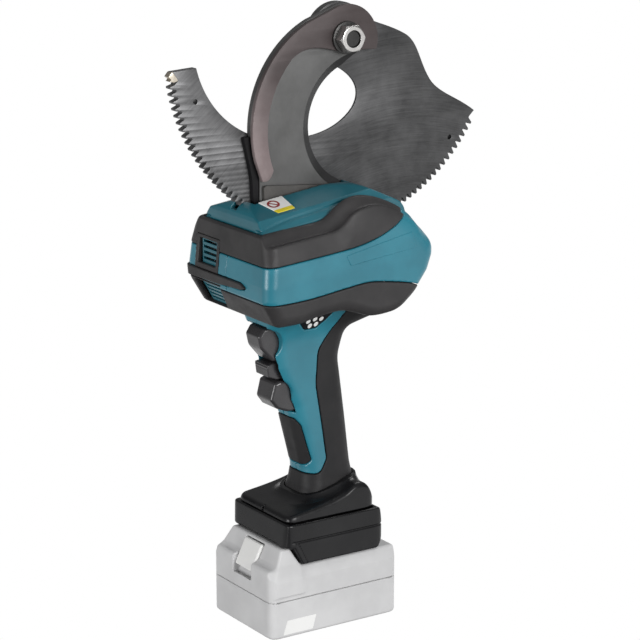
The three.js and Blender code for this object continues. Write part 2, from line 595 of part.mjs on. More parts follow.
place('foot_upper', footUpper(), BLACK);
place('foot_lower', footLower(), BLACK);
place('terminal_block', terminalBlock(), BLACK);
place('battery_lower_case', batteryLower(), PALE);
place('battery_upper_case', batteryUpper(), PALE);
place('battery_cells', cellPack(), BRIGHT_STEEL);
place('battery_latch', tiltedBox([22, 4.6, 20], LATCH_PLACE, -LATCH_SLOPE), WHITE);

export default tool;
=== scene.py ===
"""Looks of the cordless ratchet cable cutter. Shapes are in millimetres until they become meshes."""
import json
import math

import bmesh
import bpy
import numpy as np
from mathutils import Matrix, Vector


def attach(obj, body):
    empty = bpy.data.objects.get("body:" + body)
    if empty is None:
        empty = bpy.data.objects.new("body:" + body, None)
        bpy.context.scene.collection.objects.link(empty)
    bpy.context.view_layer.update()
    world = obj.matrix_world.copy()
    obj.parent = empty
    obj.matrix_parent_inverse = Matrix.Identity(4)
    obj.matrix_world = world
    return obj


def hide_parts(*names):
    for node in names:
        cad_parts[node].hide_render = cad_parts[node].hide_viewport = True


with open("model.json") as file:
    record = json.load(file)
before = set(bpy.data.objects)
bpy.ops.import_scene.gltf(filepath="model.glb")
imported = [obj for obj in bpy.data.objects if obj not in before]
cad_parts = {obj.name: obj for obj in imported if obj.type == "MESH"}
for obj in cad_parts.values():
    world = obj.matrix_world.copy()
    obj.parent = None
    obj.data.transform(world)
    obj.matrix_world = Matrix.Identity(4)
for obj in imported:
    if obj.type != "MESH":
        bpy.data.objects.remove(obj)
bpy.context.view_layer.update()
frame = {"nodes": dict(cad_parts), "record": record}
SLOT_OF = {item["node"]: item["material_slot"] for item in frame["record"]["subparts"]}

MM = 0.001
COARSE = 1.0  # grid step factor
TOOL, PACK = "tool", "battery"  # the bodies that most pieces ride on

PIVOT = (28.5, 401.5)  # blade bolt, (y, z)
TIP_RADIUS = 131.5
TOOTH_DEPTH = 4.2
TOOTH_COUNT = 65
TEETH = (187.5, 329.5)  # degrees about the bolt
ROOT_RADIUS = TIP_RADIUS - TOOTH_DEPTH
TOOTH_PITCH = (TEETH[1] - TEETH[0]) / TOOTH_COUNT
TOOTH = ((0.0, 0.0), (0.12, 0.35), (0.2, TOOTH_DEPTH - 0.5), (0.27, TOOTH_DEPTH),
         (0.48, TOOTH_DEPTH), (0.56, TOOTH_DEPTH - 0.5), (0.84, 0.35))    # share of the pitch, height
HOOK = (33.9, 344.1, 77.7)  # y, z, radius of the hook's outer edge
EDGE = (45.8, 342.8, 42.1)  # y, z, radius of the hook's cutting edge
EDGE_LAND = 48.6  # radius where the hook's ground bevel starts
HOOK_END = (PIVOT[0] + 1.5, PIVOT[1] - 2.5, 24.5)  # y, z, radius of the hook's upper end
BOLT_HOLE = 6.3  # radius
WALL = 3.6  # thickness of the housing
SEAM = 0.22  # half of the gap between two mouldings


# ---- signed distances: negative inside ----
def flat(points, u, v):
    """Distance in a plane to the closed outline through points."""
    u, v = np.broadcast_arrays(u, v)
    nearest = np.full(u.shape, 1e12)
    inside = np.zeros(u.shape, bool)
    for (ax, ay), (bx, by) in zip(points, points[1:] + points[:1]):
        ex, ey = bx - ax, by - ay
        along = np.clip(((u - ax) * ex + (v - ay) * ey) / (ex * ex + ey * ey + 1e-12), 0, 1)
        nearest = np.minimum(nearest, (u - ax - ex * along) ** 2 + (v - ay - ey * along) ** 2)
        if ay != by:
            inside ^= ((ay > v) != (by > v)) & (u < ex * (v - ay) / ey + ax)
    return np.where(inside, -1.0, 1.0) * np.sqrt(nearest)


def rounded(corners, steps=7):
    """Points round an outline of corners (u, v, radius), each corner rounded by its radius."""
    points = []
    for i, corner in enumerate(corners):
        here = Vector(corner[:2])
        radius = corner[2] if len(corner) > 2 else 0
        before = (Vector(corners[i - 1][:2]) - here).normalized()
        after = (Vector(corners[(i + 1) % len(corners)][:2]) - here).normalized()
        if radius == 0:
            points.append(tuple(here))
            continue
        half = math.acos(max(-1, min(1, before.dot(after)))) / 2
        reach = radius / math.tan(half)
        start, end = here + before * reach, here + after * reach
        for step in range(steps + 1):
            t = step / steps
            points.append(tuple(start * (1 - t) ** 2 + here * 2 * t * (1 - t) + end * t * t))
    return points


def mirrored(*half):
    """A rounded outline that is the same for u and -u, from its corners on one side."""
    return rounded([*half, *((-u, v, *radius) for u, v, *radius in reversed(half))])


def through(*knots):
    """A smooth function through (t, value) knots, level beyond the ends."""
    ts = [k[0] for k in knots]
    vs = [k[1] for k in knots]
    slopes = [0.0] * len(ts)
    for i in range(1, len(ts) - 1):
        slopes[i] = (vs[i + 1] - vs[i - 1]) / (ts[i + 1] - ts[i - 1])
    xs, ys = [], []
    for i in range(len(ts) - 1):
        span = ts[i + 1] - ts[i]
        for step in range(12):
            t = step / 12
            xs.append(ts[i] + span * t)
            ys.append((2 * t ** 3 - 3 * t ** 2 + 1) * vs[i] + (t ** 3 - 2 * t ** 2 + t) * span * slopes[i]
                      + (-2 * t ** 3 + 3 * t ** 2) * vs[i + 1] + (t ** 3 - t ** 2) * span * slopes[i + 1])
    xs.append(ts[-1])
    ys.append(vs[-1])
    return lambda v: np.interp(v, xs, ys)


def both(a, b, radius=0.0):
    """Where a and b overlap, with the edge between them rounded."""
    if radius == 0:
        return np.maximum(a, b)
    return (np.minimum(-radius, np.maximum(a, b))
            + np.hypot(np.maximum(radius + a, 0), np.maximum(radius + b, 0)))


def either(a, b, radius=0.0):
    """a and b together, with the valley between them filled by the radius."""
    return -both(-a, -b, radius)


def without(a, b, radius=0.0):
    """a with b cut away."""
    return both(a, -b, radius)


def between(v, low, high):
    return np.maximum(low - v, v - high)


def block(x, y, z, lo, hi, radius=0.0):
    """A box from lo to hi with rounded edges."""
    q = [np.abs(v - (l + h) / 2) - ((h - l) / 2 - radius) for v, l, h in zip((x, y, z), lo, hi)]
    outside = np.sqrt(sum(np.maximum(d, 0) ** 2 for d in q))
    return outside + np.minimum(np.maximum(np.maximum(q[0], q[1]), q[2]), 0) - radius


def turned(y, z, about, degrees):
    """Coordinates (y, z) in a frame turned by degrees about a point."""
    a = math.radians(degrees)
    dy, dz = y - about[0], z - about[1]
    return about[0] + dy * math.cos(a) + dz * math.sin(a), about[1] - dy * math.sin(a) + dz * math.cos(a)


# ---- meshes ----
def placed(name, data):
    """A new object in the scene."""
    item = bpy.data.objects.new(name, data)
    bpy.context.scene.collection.objects.link(item)
    return item


def baked(item):
    """An object's mesh, with its modifiers applied."""
    bpy.context.view_layer.update()
    return bpy.data.meshes.new_from_object(item.evaluated_get(bpy.context.evaluated_depsgraph_get()))


def link(name, mesh, body, replaced, material):
    """Adds a finished mesh to the scene as one piece of the tool."""
    piece = placed(name, mesh)
    mesh.materials.append(material)
    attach(piece, body)
    if replaced:
        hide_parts(*replaced)
    return piece


def gradient(shape, p, h=0.05):
    """Unit outward normals of a distance function at points."""
    n = np.zeros_like(p)
    for axis in range(3):
        d = np.zeros(3)
        d[axis] = h
        n[:, axis] = shape(*(p + d).T) - shape(*(p - d).T)
    return n / np.maximum(np.linalg.norm(n, axis=1), 1e-9)[:, None]


def cell_points(grid, cells):
    """For each cell of the grid, the mean of the points where its edges cross the surface, in steps."""
    total = np.zeros((len(cells), 3))
    hits = np.zeros(len(cells))
    for axis in range(3):
        for i, j in ((0, 0), (0, 1), (1, 0), (1, 1)):
            offset = np.zeros(3, int)
            offset[(axis + 1) % 3], offset[(axis + 2) % 3] = i, j
            a = cells + offset
            b = a.copy()
            b[:, axis] += 1
            va, vb = grid[tuple(a.T)], grid[tuple(b.T)]
            crossed = (va < 0) != (vb < 0)
            t = va / np.where(crossed, va - vb, 1)
            place = a.astype(float)
            place[:, axis] += t
            total[crossed] += place[crossed]
            hits[crossed] += 1
    return total / hits[:, None]


def cell_quads(inside, index):
    """One quad round each grid edge that crosses the surface. index gives each cell's point."""
    quads = []
    for axis in range(3):
        one, two = (axis + 1) % 3, (axis + 2) % 3
        first = inside.take(range(inside.shape[axis] - 1), axis)
        last = inside.take(range(1, inside.shape[axis]), axis)
        edges = np.argwhere(first != last)
        edges = edges[(edges[:, one] > 0) & (edges[:, two] > 0)]
        edges = edges[(edges[:, one] < inside.shape[one] - 1) & (edges[:, two] < inside.shape[two] - 1)]
        ring = []
        for i, j in ((0, 0), (1, 0), (1, 1), (0, 1)):
            cell = edges.copy()
            cell[:, one] -= 1 - i
            cell[:, two] -= 1 - j
            ring.append(index[tuple(cell.T)])
        quad = np.stack(ring, 1)
        outward = first[tuple(edges.T)]
        quad[~outward] = quad[~outward][:, ::-1]
        quads.append(quad)
    return np.concatenate(quads)


def quad_mesh(name, points, quads, normals):
    """A smooth mesh of quads with given normals at its points, which are in millimetres."""
    mesh = bpy.data.meshes.new(name)
    mesh.vertices.add(len(points))
    mesh.vertices.foreach_set("co", (points * MM).ravel())
    mesh.loops.add(quads.size)
    mesh.loops.foreach_set("vertex_index", quads.ravel())
    mesh.polygons.add(len(quads))
    mesh.polygons.foreach_set("loop_start", np.arange(0, quads.size, 4))
    mesh.polygons.foreach_set("use_smooth", np.ones(len(quads), bool))
    mesh.update(calc_edges=True)
    mesh.validate()
    mesh.normals_split_custom_set_from_vertices(normals.tolist())
    return mesh


def surface(name, shape, lo, hi, step):
    """The surface of a distance function between lo and hi, as a closed mesh with its true normals."""
    step *= COARSE
    axes = [np.arange(lo[i] - 2 * step, hi[i] + 2.5 * step, step) for i in range(3)]
    grid = np.broadcast_to(shape(axes[0][:, None, None], axes[1][None, :, None], axes[2][None, None, :]),
                           [len(a) for a in axes]).astype(np.float32)
    inside = grid < 0
    count = sum(inside[i:i + inside.shape[0] - 1, j:j + inside.shape[1] - 1, k:k + inside.shape[2] - 1]
                .astype(np.int8) for i in (0, 1) for j in (0, 1) for k in (0, 1))
    cells = np.argwhere((count > 0) & (count < 8))
    index = np.full(count.shape, -1, np.int64)
    index[tuple(cells.T)] = np.arange(len(cells))
    points = np.array([a[0] for a in axes]) + step * cell_points(grid, cells)
    for _ in range(3):
        value = np.broadcast_to(shape(*points.T), len(points))
        move = np.clip(value, -step, step)[:, None] * gradient(shape, points)
        points = points - move * 0.9
    return quad_mesh(name, points, cell_quads(inside, index), gradient(shape, points))


def moulded(node, shape, lo, hi, step, body, material):
    """One moulded piece that stands for a CAD node, in the given material."""
    mesh = surface(node + "_skin", shape, lo, hi, step)
    return link(node + "_skin", mesh, body, [node], material)


def arc(y, z, radius, start, end, steps=24):
    """Points on an arc, from start to end degrees."""
    angles = [math.radians(start + (end - start) * i / steps) for i in range(steps + 1)]
    return [(y + radius * math.cos(a), z + radius * math.sin(a)) for a in angles]


def bend(p0, p1, p2, p3, steps=16):
    """Points on a cubic curve, without its first point."""
    points = []
    for i in range(1, steps + 1):
        t = i / steps
        w = ((1 - t) ** 3, 3 * t * (1 - t) ** 2, 3 * t * t * (1 - t), t ** 3)
        points.append(tuple(sum(k * p[axis] for k, p in zip(w, (p0, p1, p2, p3))) for axis in (0, 1)))
    return points


def plate(name, outlines, x0, x1, edge=0.25):
    """A flat plate in the YZ plane from x0 to x1: the first outline is its rim and the others are holes."""
    curve = bpy.data.curves.new(name, "CURVE")
    curve.dimensions = "2D"
    curve.fill_mode = "BOTH"
    curve.extrude = ((x1 - x0) / 2 - edge) * MM
    curve.bevel_depth = edge * MM
    curve.bevel_resolution = 1
    curve.offset = -edge * MM
    for points in outlines:
        spline = curve.splines.new("POLY")
        spline.points.add(len(points) - 1)
        for point, (y, z) in zip(spline.points, points):
            point.co = (y * MM, z * MM, 0, 1)
        spline.use_cyclic_u = True
    holder = placed(name + "_curve", curve)
    mesh = baked(holder)
    bpy.data.objects.remove(holder)
    mesh.transform(Matrix(((0, 0, 1, (x0 + x1) / 2 * MM), (1, 0, 0, 0), (0, 1, 0, 0), (0, 0, 0, 1))))
    mesh.name = name
    return clean(mesh)


def clean(mesh, angle=32):
    """Welds a mesh, points its faces outwards and keeps edges sharper than angle degrees crisp."""
    bm = bmesh.new()
    bm.from_mesh(mesh)
    bmesh.ops.remove_doubles(bm, verts=bm.verts, dist=1e-6)
    bmesh.ops.recalc_face_normals(bm, faces=bm.faces)
    bm.to_mesh(mesh)
    bm.free()
    mesh.shade_smooth()
    mesh.set_sharp_from_angle(angle=math.radians(angle))
    return mesh


def carved(mesh, cutter):
    """A mesh with another cut out of it."""
    holder = placed("carved", mesh)
    modifier = holder.modifiers.new("cut", "BOOLEAN")
    modifier.operation = "DIFFERENCE"
    modifier.solver = "EXACT"
    modifier.object = placed("cutter", cutter)
    result = baked(holder)
    for item in (modifier.object, holder):
        bpy.data.objects.remove(item)
    return clean(result)


def lathe_x(name, centre, profile, sides=96):
    """A turned mesh about an axis along X at (y, z): profile points are (x, radius)."""
    cy, cz = centre
    verts, faces = [], []
    for x, radius in profile:
        for i in range(sides):
            a = 2 * math.pi * i / sides
            verts.append((x * MM, (cy + radius * math.cos(a)) * MM, (cz + radius * math.sin(a)) * MM))
    for ring in range(len(profile) - 1):
        for i in range(sides):
            j = (i + 1) % sides
            faces.append((ring * sides + i, ring * sides + j, (ring + 1) * sides + j, (ring + 1) * sides + i))
    faces.append(tuple(range(sides)))
    faces.append(tuple(range((len(profile) - 1) * sides, len(profile) * sides)))
    mesh = bpy.data.meshes.new(name)
    mesh.from_pydata(verts, [], faces)
    return clean(mesh)


# ---- materials ----
def material(name, colour, roughness, metallic=0.0, specular=0.5):
    """A plain material and its shader node."""
    made = bpy.data.materials.new(name)
    made.use_nodes = True
    shader = made.node_tree.nodes["Principled BSDF"]
    for socket, value in (("Base Color", (*colour, 1)), ("Roughness", roughness), ("Metallic", metallic),
                          ("Specular IOR Level", specular)):
        shader.inputs[socket].default_value = value
    return made, shader


def wire(tree, kind, inputs=None, **settings):
    """A node with its settings and its inputs' values or links."""
    node = tree.nodes.new(kind)
    for key, value in settings.items():
        setattr(node, key, value)
    for key, value in (inputs or {}).items():
        if isinstance(value, bpy.types.NodeSocket):
            tree.links.new(value, node.inputs[key])
        else:
            node.inputs[key].default_value = value
    return node


def noise(tree, place, scale, detail, rough=0.55):
    settings = {"Vector": place, "Scale": scale, "Detail": detail, "Roughness": rough}
    return wire(tree, "ShaderNodeTexNoise", settings).outputs["Fac"]


def spread(tree, value, low, high, start=0.3, end=0.7):
    """A value from start to end spread between low and high."""
    limits = {"Value": value, "From Min": start, "From Max": end, "To Min": low, "To Max": high}
    return wire(tree, "ShaderNodeMapRange", limits).outputs["Result"]


def ramp(tree, value, *stops):
    """A colour ramp through (place, colour) stops."""
    node = wire(tree, "ShaderNodeValToRGB", {"Fac": value})
    elements = node.color_ramp.elements
    while len(elements) < len(stops):
        elements.new(0.5)
    for element, (place, colour) in zip(elements, stops):
        element.position = place
        element.color = (*colour, 1)
    return node.outputs["Color"]


def bump(tree, shader, height, strength, distance):
    node = wire(tree, "ShaderNodeBump", {"Height": height, "Strength": strength, "Distance": distance})
    tree.links.new(node.outputs["Normal"], shader.inputs["Normal"])


def coordinates(tree):
    return wire(tree, "ShaderNodeTexCoord").outputs["Object"]


def plastic(name, dark, light, roughness, grain, depth, coat=0.0, specular=0.5):
    """Moulded plastic: slow colour drift, a fine grain, and roughness that varies with handling."""
    made, shader = material(name, light, roughness, 0.0, specular)
    tree = made.node_tree
    place = coordinates(tree)
    drift = noise(tree, place, 38.0, 3.0)
    tree.links.new(ramp(tree, drift, (0.35, dark), (0.65, light)), shader.inputs["Base Color"])
    handled = noise(tree, place, 90.0, 5.0, 0.6)
    tree.links.new(spread(tree, handled, roughness - 0.06, roughness + 0.07), shader.inputs["Roughness"])
    shader.inputs["Coat Weight"].default_value = coat
    shader.inputs["Coat Roughness"].default_value = 0.25
    bump(tree, shader, noise(tree, place, grain, 2.0, 0.5), 0.35, depth)
    return made


def sums(tree, operation, *values, kind="ShaderNodeMath"):
    """The output of a Math node, or of a VectorMath node."""
    return wire(tree, kind, dict(enumerate(values)), operation=operation).outputs[0]


def grinding(tree, split, centre, lines):
    """Noise drawn out along circles about centre (y, z), in millimetres."""
    across = sums(tree, "SUBTRACT", split.outputs["Y"], centre[0] * MM)
    upward = sums(tree, "SUBTRACT", split.outputs["Z"], centre[1] * MM)
    squared = sums(tree, "MULTIPLY", across, across)
    radius = sums(tree, "POWER", sums(tree, "MULTIPLY_ADD", upward, upward, squared), 0.5)
    turn = sums(tree, "MULTIPLY", sums(tree, "ARCTAN2", upward, across), 0.006)
    line = wire(tree, "ShaderNodeCombineXYZ", {"X": radius, "Y": turn, "Z": split.outputs["X"]})
    return noise(tree, line.outputs[0], lines, 6.0, 0.72)


def faded(tree, colour, split, axis, start, end, low, high):
    """A colour scaled from low to high between two places on an axis, in millimetres."""
    scale = spread(tree, split.outputs[axis], low, high, start * MM, end * MM)
    return sums(tree, "MULTIPLY", colour, scale, kind="ShaderNodeVectorMath")


def steel(name, dark, light, roughness, centre, metallic=0.75, lines=900.0, streaks=0.22, painted_light_fade=None):
    """Ground steel: fine concentric grinding marks about centre (y, z), mixed with darker stains, and an
    optional colour gradient along one axis that paints light and shade.
    """
    made, shader = material(name, light, roughness, metallic)
    tree = made.node_tree
    place = coordinates(tree)
    split = wire(tree, "ShaderNodeSeparateXYZ", {"Vector": place})
    fine = grinding(tree, split, centre, lines)
    stains = noise(tree, place, 26.0, 6.0, 0.62)
    marks = sums(tree, "MULTIPLY_ADD", stains, 1 - streaks, sums(tree, "MULTIPLY", fine, streaks))
    colour = ramp(tree, marks, (0.36, dark), (0.62, light))
    if painted_light_fade:
        colour = faded(tree, colour, split, *painted_light_fade)
    tree.links.new(colour, shader.inputs["Base Color"])
    tree.links.new(spread(tree, fine, roughness - 0.08, roughness + 0.1), shader.inputs["Roughness"])
    bump(tree, shader, fine, 0.25, 0.00006)
    return made


# name, dark and light colour, roughness, scale and depth of the grain, coat, specular
TEAL = plastic("teal_moulding", (0.014, 0.168, 0.23), (0.02, 0.204, 0.275), 0.36, 2600.0, 0.00003, 0.25)
# A darker copy of the teal moulding, used for the cover and both grilles: painted shade.
TEAL_SHADED = plastic("teal_painted_shade", (0.008, 0.112, 0.15), (0.012, 0.138, 0.182), 0.34, 2600.0, 0.00003, 0.25)
RUBBER = plastic("black_overmould", (0.025, 0.024, 0.025), (0.037, 0.035, 0.036), 0.5, 1800.0, 0.00012,
                 specular=0.4)
GRIP_RUBBER = plastic("grip_overmould", (0.013, 0.013, 0.014), (0.02, 0.019, 0.02), 0.56, 1800.0, 0.0001,
                      specular=0.3)
FOOT_BLACK = plastic("foot_moulding", (0.005, 0.005, 0.006), (0.01, 0.01, 0.011), 0.3, 2000.0, 0.00004,
                     specular=0.34)
GLOSS_BLACK = plastic("black_moulding", (0.03, 0.029, 0.031), (0.042, 0.04, 0.043), 0.28, 2200.0, 0.00004,
                      0.2)
DEEP_BLACK = plastic("black_trim_and_shade_strip", (0.006, 0.006, 0.007), (0.01, 0.01, 0.011), 0.5, 2200.0, 0.00004,
                     specular=0.2)
PALE = plastic("pale_moulding", (0.58, 0.58, 0.585), (0.65, 0.65, 0.655), 0.5, 1500.0, 0.00006)
WHITE = plastic("white_moulding", (0.82, 0.82, 0.80), (0.88, 0.88, 0.87), 0.42, 1500.0, 0.00003)
YELLOW = plastic("yellow_print", (0.72, 0.58, 0.02), (0.82, 0.68, 0.03), 0.4, 1500.0, 0.00002)
RED_PRINT = plastic("red_print", (0.25, 0.02, 0.02), (0.32, 0.03, 0.03), 0.4, 1500.0, 0.00002)
BOARD = plastic("board_lacquer", (0.02, 0.12, 0.05), (0.03, 0.18, 0.08), 0.4, 1200.0, 0.00003)

# name, dark and light colour, roughness, centre of the marks, metallic, scale and share of the marks, painted
# light fade
HOOK_MARKS = (45, 343)
ROOT_STEEL = steel("root_steel", (0.08, 0.076, 0.072), (0.125, 0.12, 0.115), 0.5, HOOK_MARKS, 0.6, 700.0, 0.3)
# The blade's colour is 1.75 times lighter on its tail, below y -60, easing to plain by y -20: painted light
# on the tail.
BLADE = steel("blade_steel", (0.045, 0.045, 0.046), (0.115, 0.115, 0.117), 0.42, (84, 170), 0.75, 1300.0,
              0.38, ("Y", -60, -20, 1.75, 1.0))
HOOK_STEEL = steel("hook_steel", (0.085, 0.085, 0.084), (0.13, 0.13, 0.129), 0.5, HOOK_MARKS, 0.6, 700.0,
                   0.25)
BEVEL_STEEL = steel("bevel_steel", (0.03, 0.03, 0.03), (0.055, 0.055, 0.056), 0.42, HOOK_MARKS, 0.6, 700.0,
                    0.2)
# The coated plate's colour falls to 0.3 of itself from z 330 up to z 385, darkening its upper part round the
# nut: painted shade.
COATED = steel("coated_steel", (0.2, 0.155, 0.155), (0.29, 0.24, 0.24), 0.5, (36, 342), 0.35, 500.0, 0.2,
               ("Z", 330, 385, 1.0, 0.3))
BRIGHT = steel("bright_steel", (0.5, 0.49, 0.48), (0.72, 0.71, 0.69), 0.26, PIVOT, 0.95, 900.0, 0.3)
DARK_STEEL = steel("dark_steel", (0.04, 0.04, 0.04), (0.09, 0.088, 0.086), 0.4, PIVOT, 0.8, 900.0, 0.3)
BRONZE = steel("bare_tooth", (0.42, 0.36, 0.28), (0.74, 0.68, 0.58), 0.3, PIVOT, 0.9, 900.0, 0.3)

# The black_plastic slot also covers the strip at the hook's base, a dark piece set where shade falls between
# the hook and the blade's tail: its deep black there is painted shade.
FINISH = {
    "teal_plastic": TEAL, "black_plastic": DEEP_BLACK, "dark_steel": DARK_STEEL, "brown_steel": COATED,
    "bright_steel": BRIGHT, "pale_plastic": PALE, "white_plastic": WHITE, "circuit_board": BOARD,
}
for node_name, node in frame["nodes"].items():
    node.data.materials.clear()
    node.data.materials.append(ROOT_STEEL if node_name == "root_guard" else FINISH[SLOT_OF[node_name]])


# ---- blades ----
def polar(radius, degrees):
    a = math.radians(degrees)
    return PIVOT[0] + radius * math.cos(a), PIVOT[1] + radius * math.sin(a)


def circle(y, z, radius, steps=40):
    return arc(y, z, radius, 0, 360 * (steps - 1) / steps, steps - 1)


THROAT = [(16, 386)]
THROAT += bend((16, 386), (38, 378), (50, 366), (40, 352))
THROAT += bend((40, 352), (28, 338), (6, 334), (-14, 336.5))
INNER_TAIL = arc(-14.1, 405.7, 69.2, -90, -166, 30)


def moving_blade():
    """The toothed crescent, from its first tooth round the rim, the back, the eye and the throat."""
    rim = []
    for tooth in range(1, TOOTH_COUNT):
        start = TEETH[0] + tooth * TOOTH_PITCH
        rim += [polar(ROOT_RADIUS + height, start + TOOTH_PITCH * share) for share, height in TOOTH]
    rim += [polar(ROOT_RADIUS, TEETH[1]), (142.5, 341)]
    rim += bend((142.5, 341), (128, 352), (110, 356), (103, 368))
    rim += bend((103, 368), (95, 380), (94, 393), (83, 399))
    rim += bend((83, 399), (72, 405), (60, 408), (50, 412), 8)
    rim += arc(*PIVOT, 23, 27, 180)
    rim += THROAT + INNER_TAIL
    rim += [polar(ROOT_RADIUS + 1.0, TEETH[0] - 1.4), polar(ROOT_RADIUS - 2.5, TEETH[0] + TOOTH_PITCH * 0.7)]
    holes = [circle(*PIVOT, 9.0), circle(-82.3, 367.2, 1.6, 20), circle(121.5, 324.1, 1.6, 20)]
    mesh = plate("toothed_blade", [rim, *holes], -5, 1, 0.3)
    return carved(mesh, bevel_cutter())


def bevel_cutter(width=7.0, out=2.0):
    """A triangular prism along the throat that grinds the blade's edge on its far face."""
    path = THROAT + INNER_TAIL[1:4]
    verts = []
    for i, (y, z) in enumerate(path):
        ahead = Vector(path[min(i + 1, len(path) - 1)]) - Vector(path[max(i - 1, 0)])
        side = Vector((ahead.y, -ahead.x)).normalized()
        inner = (y - side.x * width, z - side.y * width)
        outer = (y + side.x * out, z + side.y * out)
        verts += [(-5.6 * MM, inner[0] * MM, inner[1] * MM), (-5.6 * MM, outer[0] * MM, outer[1] * MM),
                  (0.6 * MM, outer[0] * MM, outer[1] * MM)]
    faces = [(0, 1, 2), tuple(len(verts) - k for k in (1, 2, 3))]
    for i in range(len(path) - 1):
        for a, b in ((0, 1), (1, 2), (2, 0)):
            faces.append((3 * i + a, 3 * i + b, 3 * i + 3 + b, 3 * i + 3 + a))
    cutter = bpy.data.meshes.new("bevel_cutter")
    cutter.from_pydata(verts, [], faces)
    return clean(cutter)


def bare_tooth():
    """The first ratchet tooth at the tail's end, ground bare."""
    corners = ((-2.2, 0.72), (0.8, 0.8), (3.6, 0.55), (2.4, 0.3), (TOOTH_DEPTH, -0.1), (1.4, -0.62),
               (-2.2, -0.5))
    outline = [polar(ROOT_RADIUS + height, TEETH[0] + TOOTH_PITCH * share) for height, share in corners]
    return plate("bare_tooth", [outline], -4.9, 0.9, 0.3)


BEVEL_DEPTH = 4.2


def hook_outline():
    points = [(-30, 240), (-37, 290), (-36.8, 313), (-43.8, 343)]
    points += arc(*HOOK, 180, 115, 30)[1:]
    points += arc(*HOOK_END, 115, -17, 24)
    points += [(43, 392.4), (37, 388)]
    points += arc(*EDGE, 112, 245, 40)
    points += [(29, 296), (22, 256), (-9, 256), (-9, 240)]
    return points


def fixed_blade():
    """The hook, its cutting edge ground to a cone on the near face."""
    holes = [circle(*PIVOT, BOLT_HOLE), circle(0, 255, 3.3, 20), circle(-22, 267, 4.3, 20),
             circle(-18, 245, 4.3, 20)]
    mesh = plate("hook_blade", [hook_outline(), *holes], 1.3, 6, 0.3)
    rate = (EDGE_LAND - EDGE[2]) / BEVEL_DEPTH
    cone = lathe_x("edge_cone", EDGE[:2], [(1.3, EDGE[2] - 0.5 * rate), (6.6, EDGE_LAND + 0.6 * rate)], 160)
    return carved(mesh, cone)


def paint_bevel(mesh):
    """Paints the faces of the hook's ground bevel, picked by their slant near the cutting edge, in a darker
    steel.
    """
    mesh.materials.append(BEVEL_STEEL)
    for face in mesh.polygons:
        centre = face.center / MM
        slanted = 0.35 < face.normal.x < 0.95
        near = math.hypot(centre.y - EDGE[0], centre.z - EDGE[1]) < EDGE_LAND + 0.3
        if slanted and near and face.area > 1e-8:
            face.material_index = 1


def arm_plate():
    """The coated plate along the hook's outer edge."""
    points = arc(32, 344.4, 76.5, 194.4, 115, 36)
    points += arc(*HOOK_END, 115, -17, 24)
    points += [(43, 392.4), (33, 390.6)]
    points += bend((33, 390.6), (20, 391.5), (2, 403), (-14, 390), 14)
    points += arc(36.9, 342.3, 69.6, 136.8, 200.5, 36)
    points += bend(points[-1], (-30.3, 311.5), (-33, 310.2), (-37, 311.2), 8)
    return plate("hook_arm", [points, circle(*PIVOT, BOLT_HOLE)], 6.3, 10, 0.7)


def hexagon(radius, turn=0):
    return [polar(radius, 60 * k + turn) for k in range(6)]


def pivot_nut():
    """A hexagon nut whose corners are turned off to a cone at its outer face."""
    def shape(x, y, z):
        around = np.hypot(y - PIVOT[0], z - PIVOT[1])
        body = both(flat(hexagon(10, 2), y, z), between(x, 12.1, 19.4), 0.3)
        cone = (around - 8.9 + (x - 19.0) * 1.6) * 0.53
        back = (around - 9.6 - (x - 12.3) * 1.6) * 0.53
        hole = 6.25 - around - np.maximum(0, x - 18.6) * 0.8
        return both(both(both(body, cone, 0.2), back, 0.2), hole, 0.2)
    return surface("hex_nut", shape, (11.7, 17, 390), (20, 40, 413), 0.36)


THREAD_PITCH = 1.25


def pivot_bolt():
    """Disc head with a hexagon hub on the far side, a shank, and a threaded end inside the nut."""
    def shape(x, y, z):
        around = np.hypot(y - PIVOT[0], z - PIVOT[1])
        disc = both(around - 20.5, between(x, -9.3, -5.3), 0.8)
        hub = both(flat(hexagon(9), y, z), between(x, -12.8, -8.3), 0.5)
        socket = both(flat(hexagon(4.2), y, z), x + 10.2, 0.2)
        turns = np.arctan2(z - PIVOT[1], y - PIVOT[0]) / math.tau
        thread = 0.32 * np.abs((x / THREAD_PITCH - turns) % 1 * 2 - 1)
        shank = both(around - 6.0 + np.where(x > 12, thread, 0.02), between(x, -9.0, 18.2), 0.7)
        return without(either(either(disc, hub, 0.6), shank, 0.3), socket, 0.2)
    return surface("disc_bolt", shape, (-13, 7, 380), (27.2, 50, 423), 0.55)


def washer():
    """The washer below the nut."""
    return plate("spring_washer", [circle(*PIVOT, 11, 64), circle(*PIVOT, BOLT_HOLE, 48)], 10.3, 12, 0.4)


link("moving_blade_skin", moving_blade(), "blade", ["moving_blade"], BLADE)
link("moving_blade_bare_tooth", bare_tooth(), "blade", [], BRONZE)
paint_bevel(link("fixed_blade_skin", fixed_blade(), TOOL, ["fixed_blade"], HOOK_STEEL).data)
link("arm_plate_skin", arm_plate(), TOOL, ["arm_plate"], COATED)
link("pivot_nut_skin", pivot_nut(), TOOL, ["pivot_nut"], BRIGHT)
link("pivot_bolt_skin", pivot_bolt(), TOOL, ["pivot_bolt"], DARK_STEEL)
link("pivot_washer_skin", washer(), TOOL, ["pivot_washer"], DARK_STEEL)


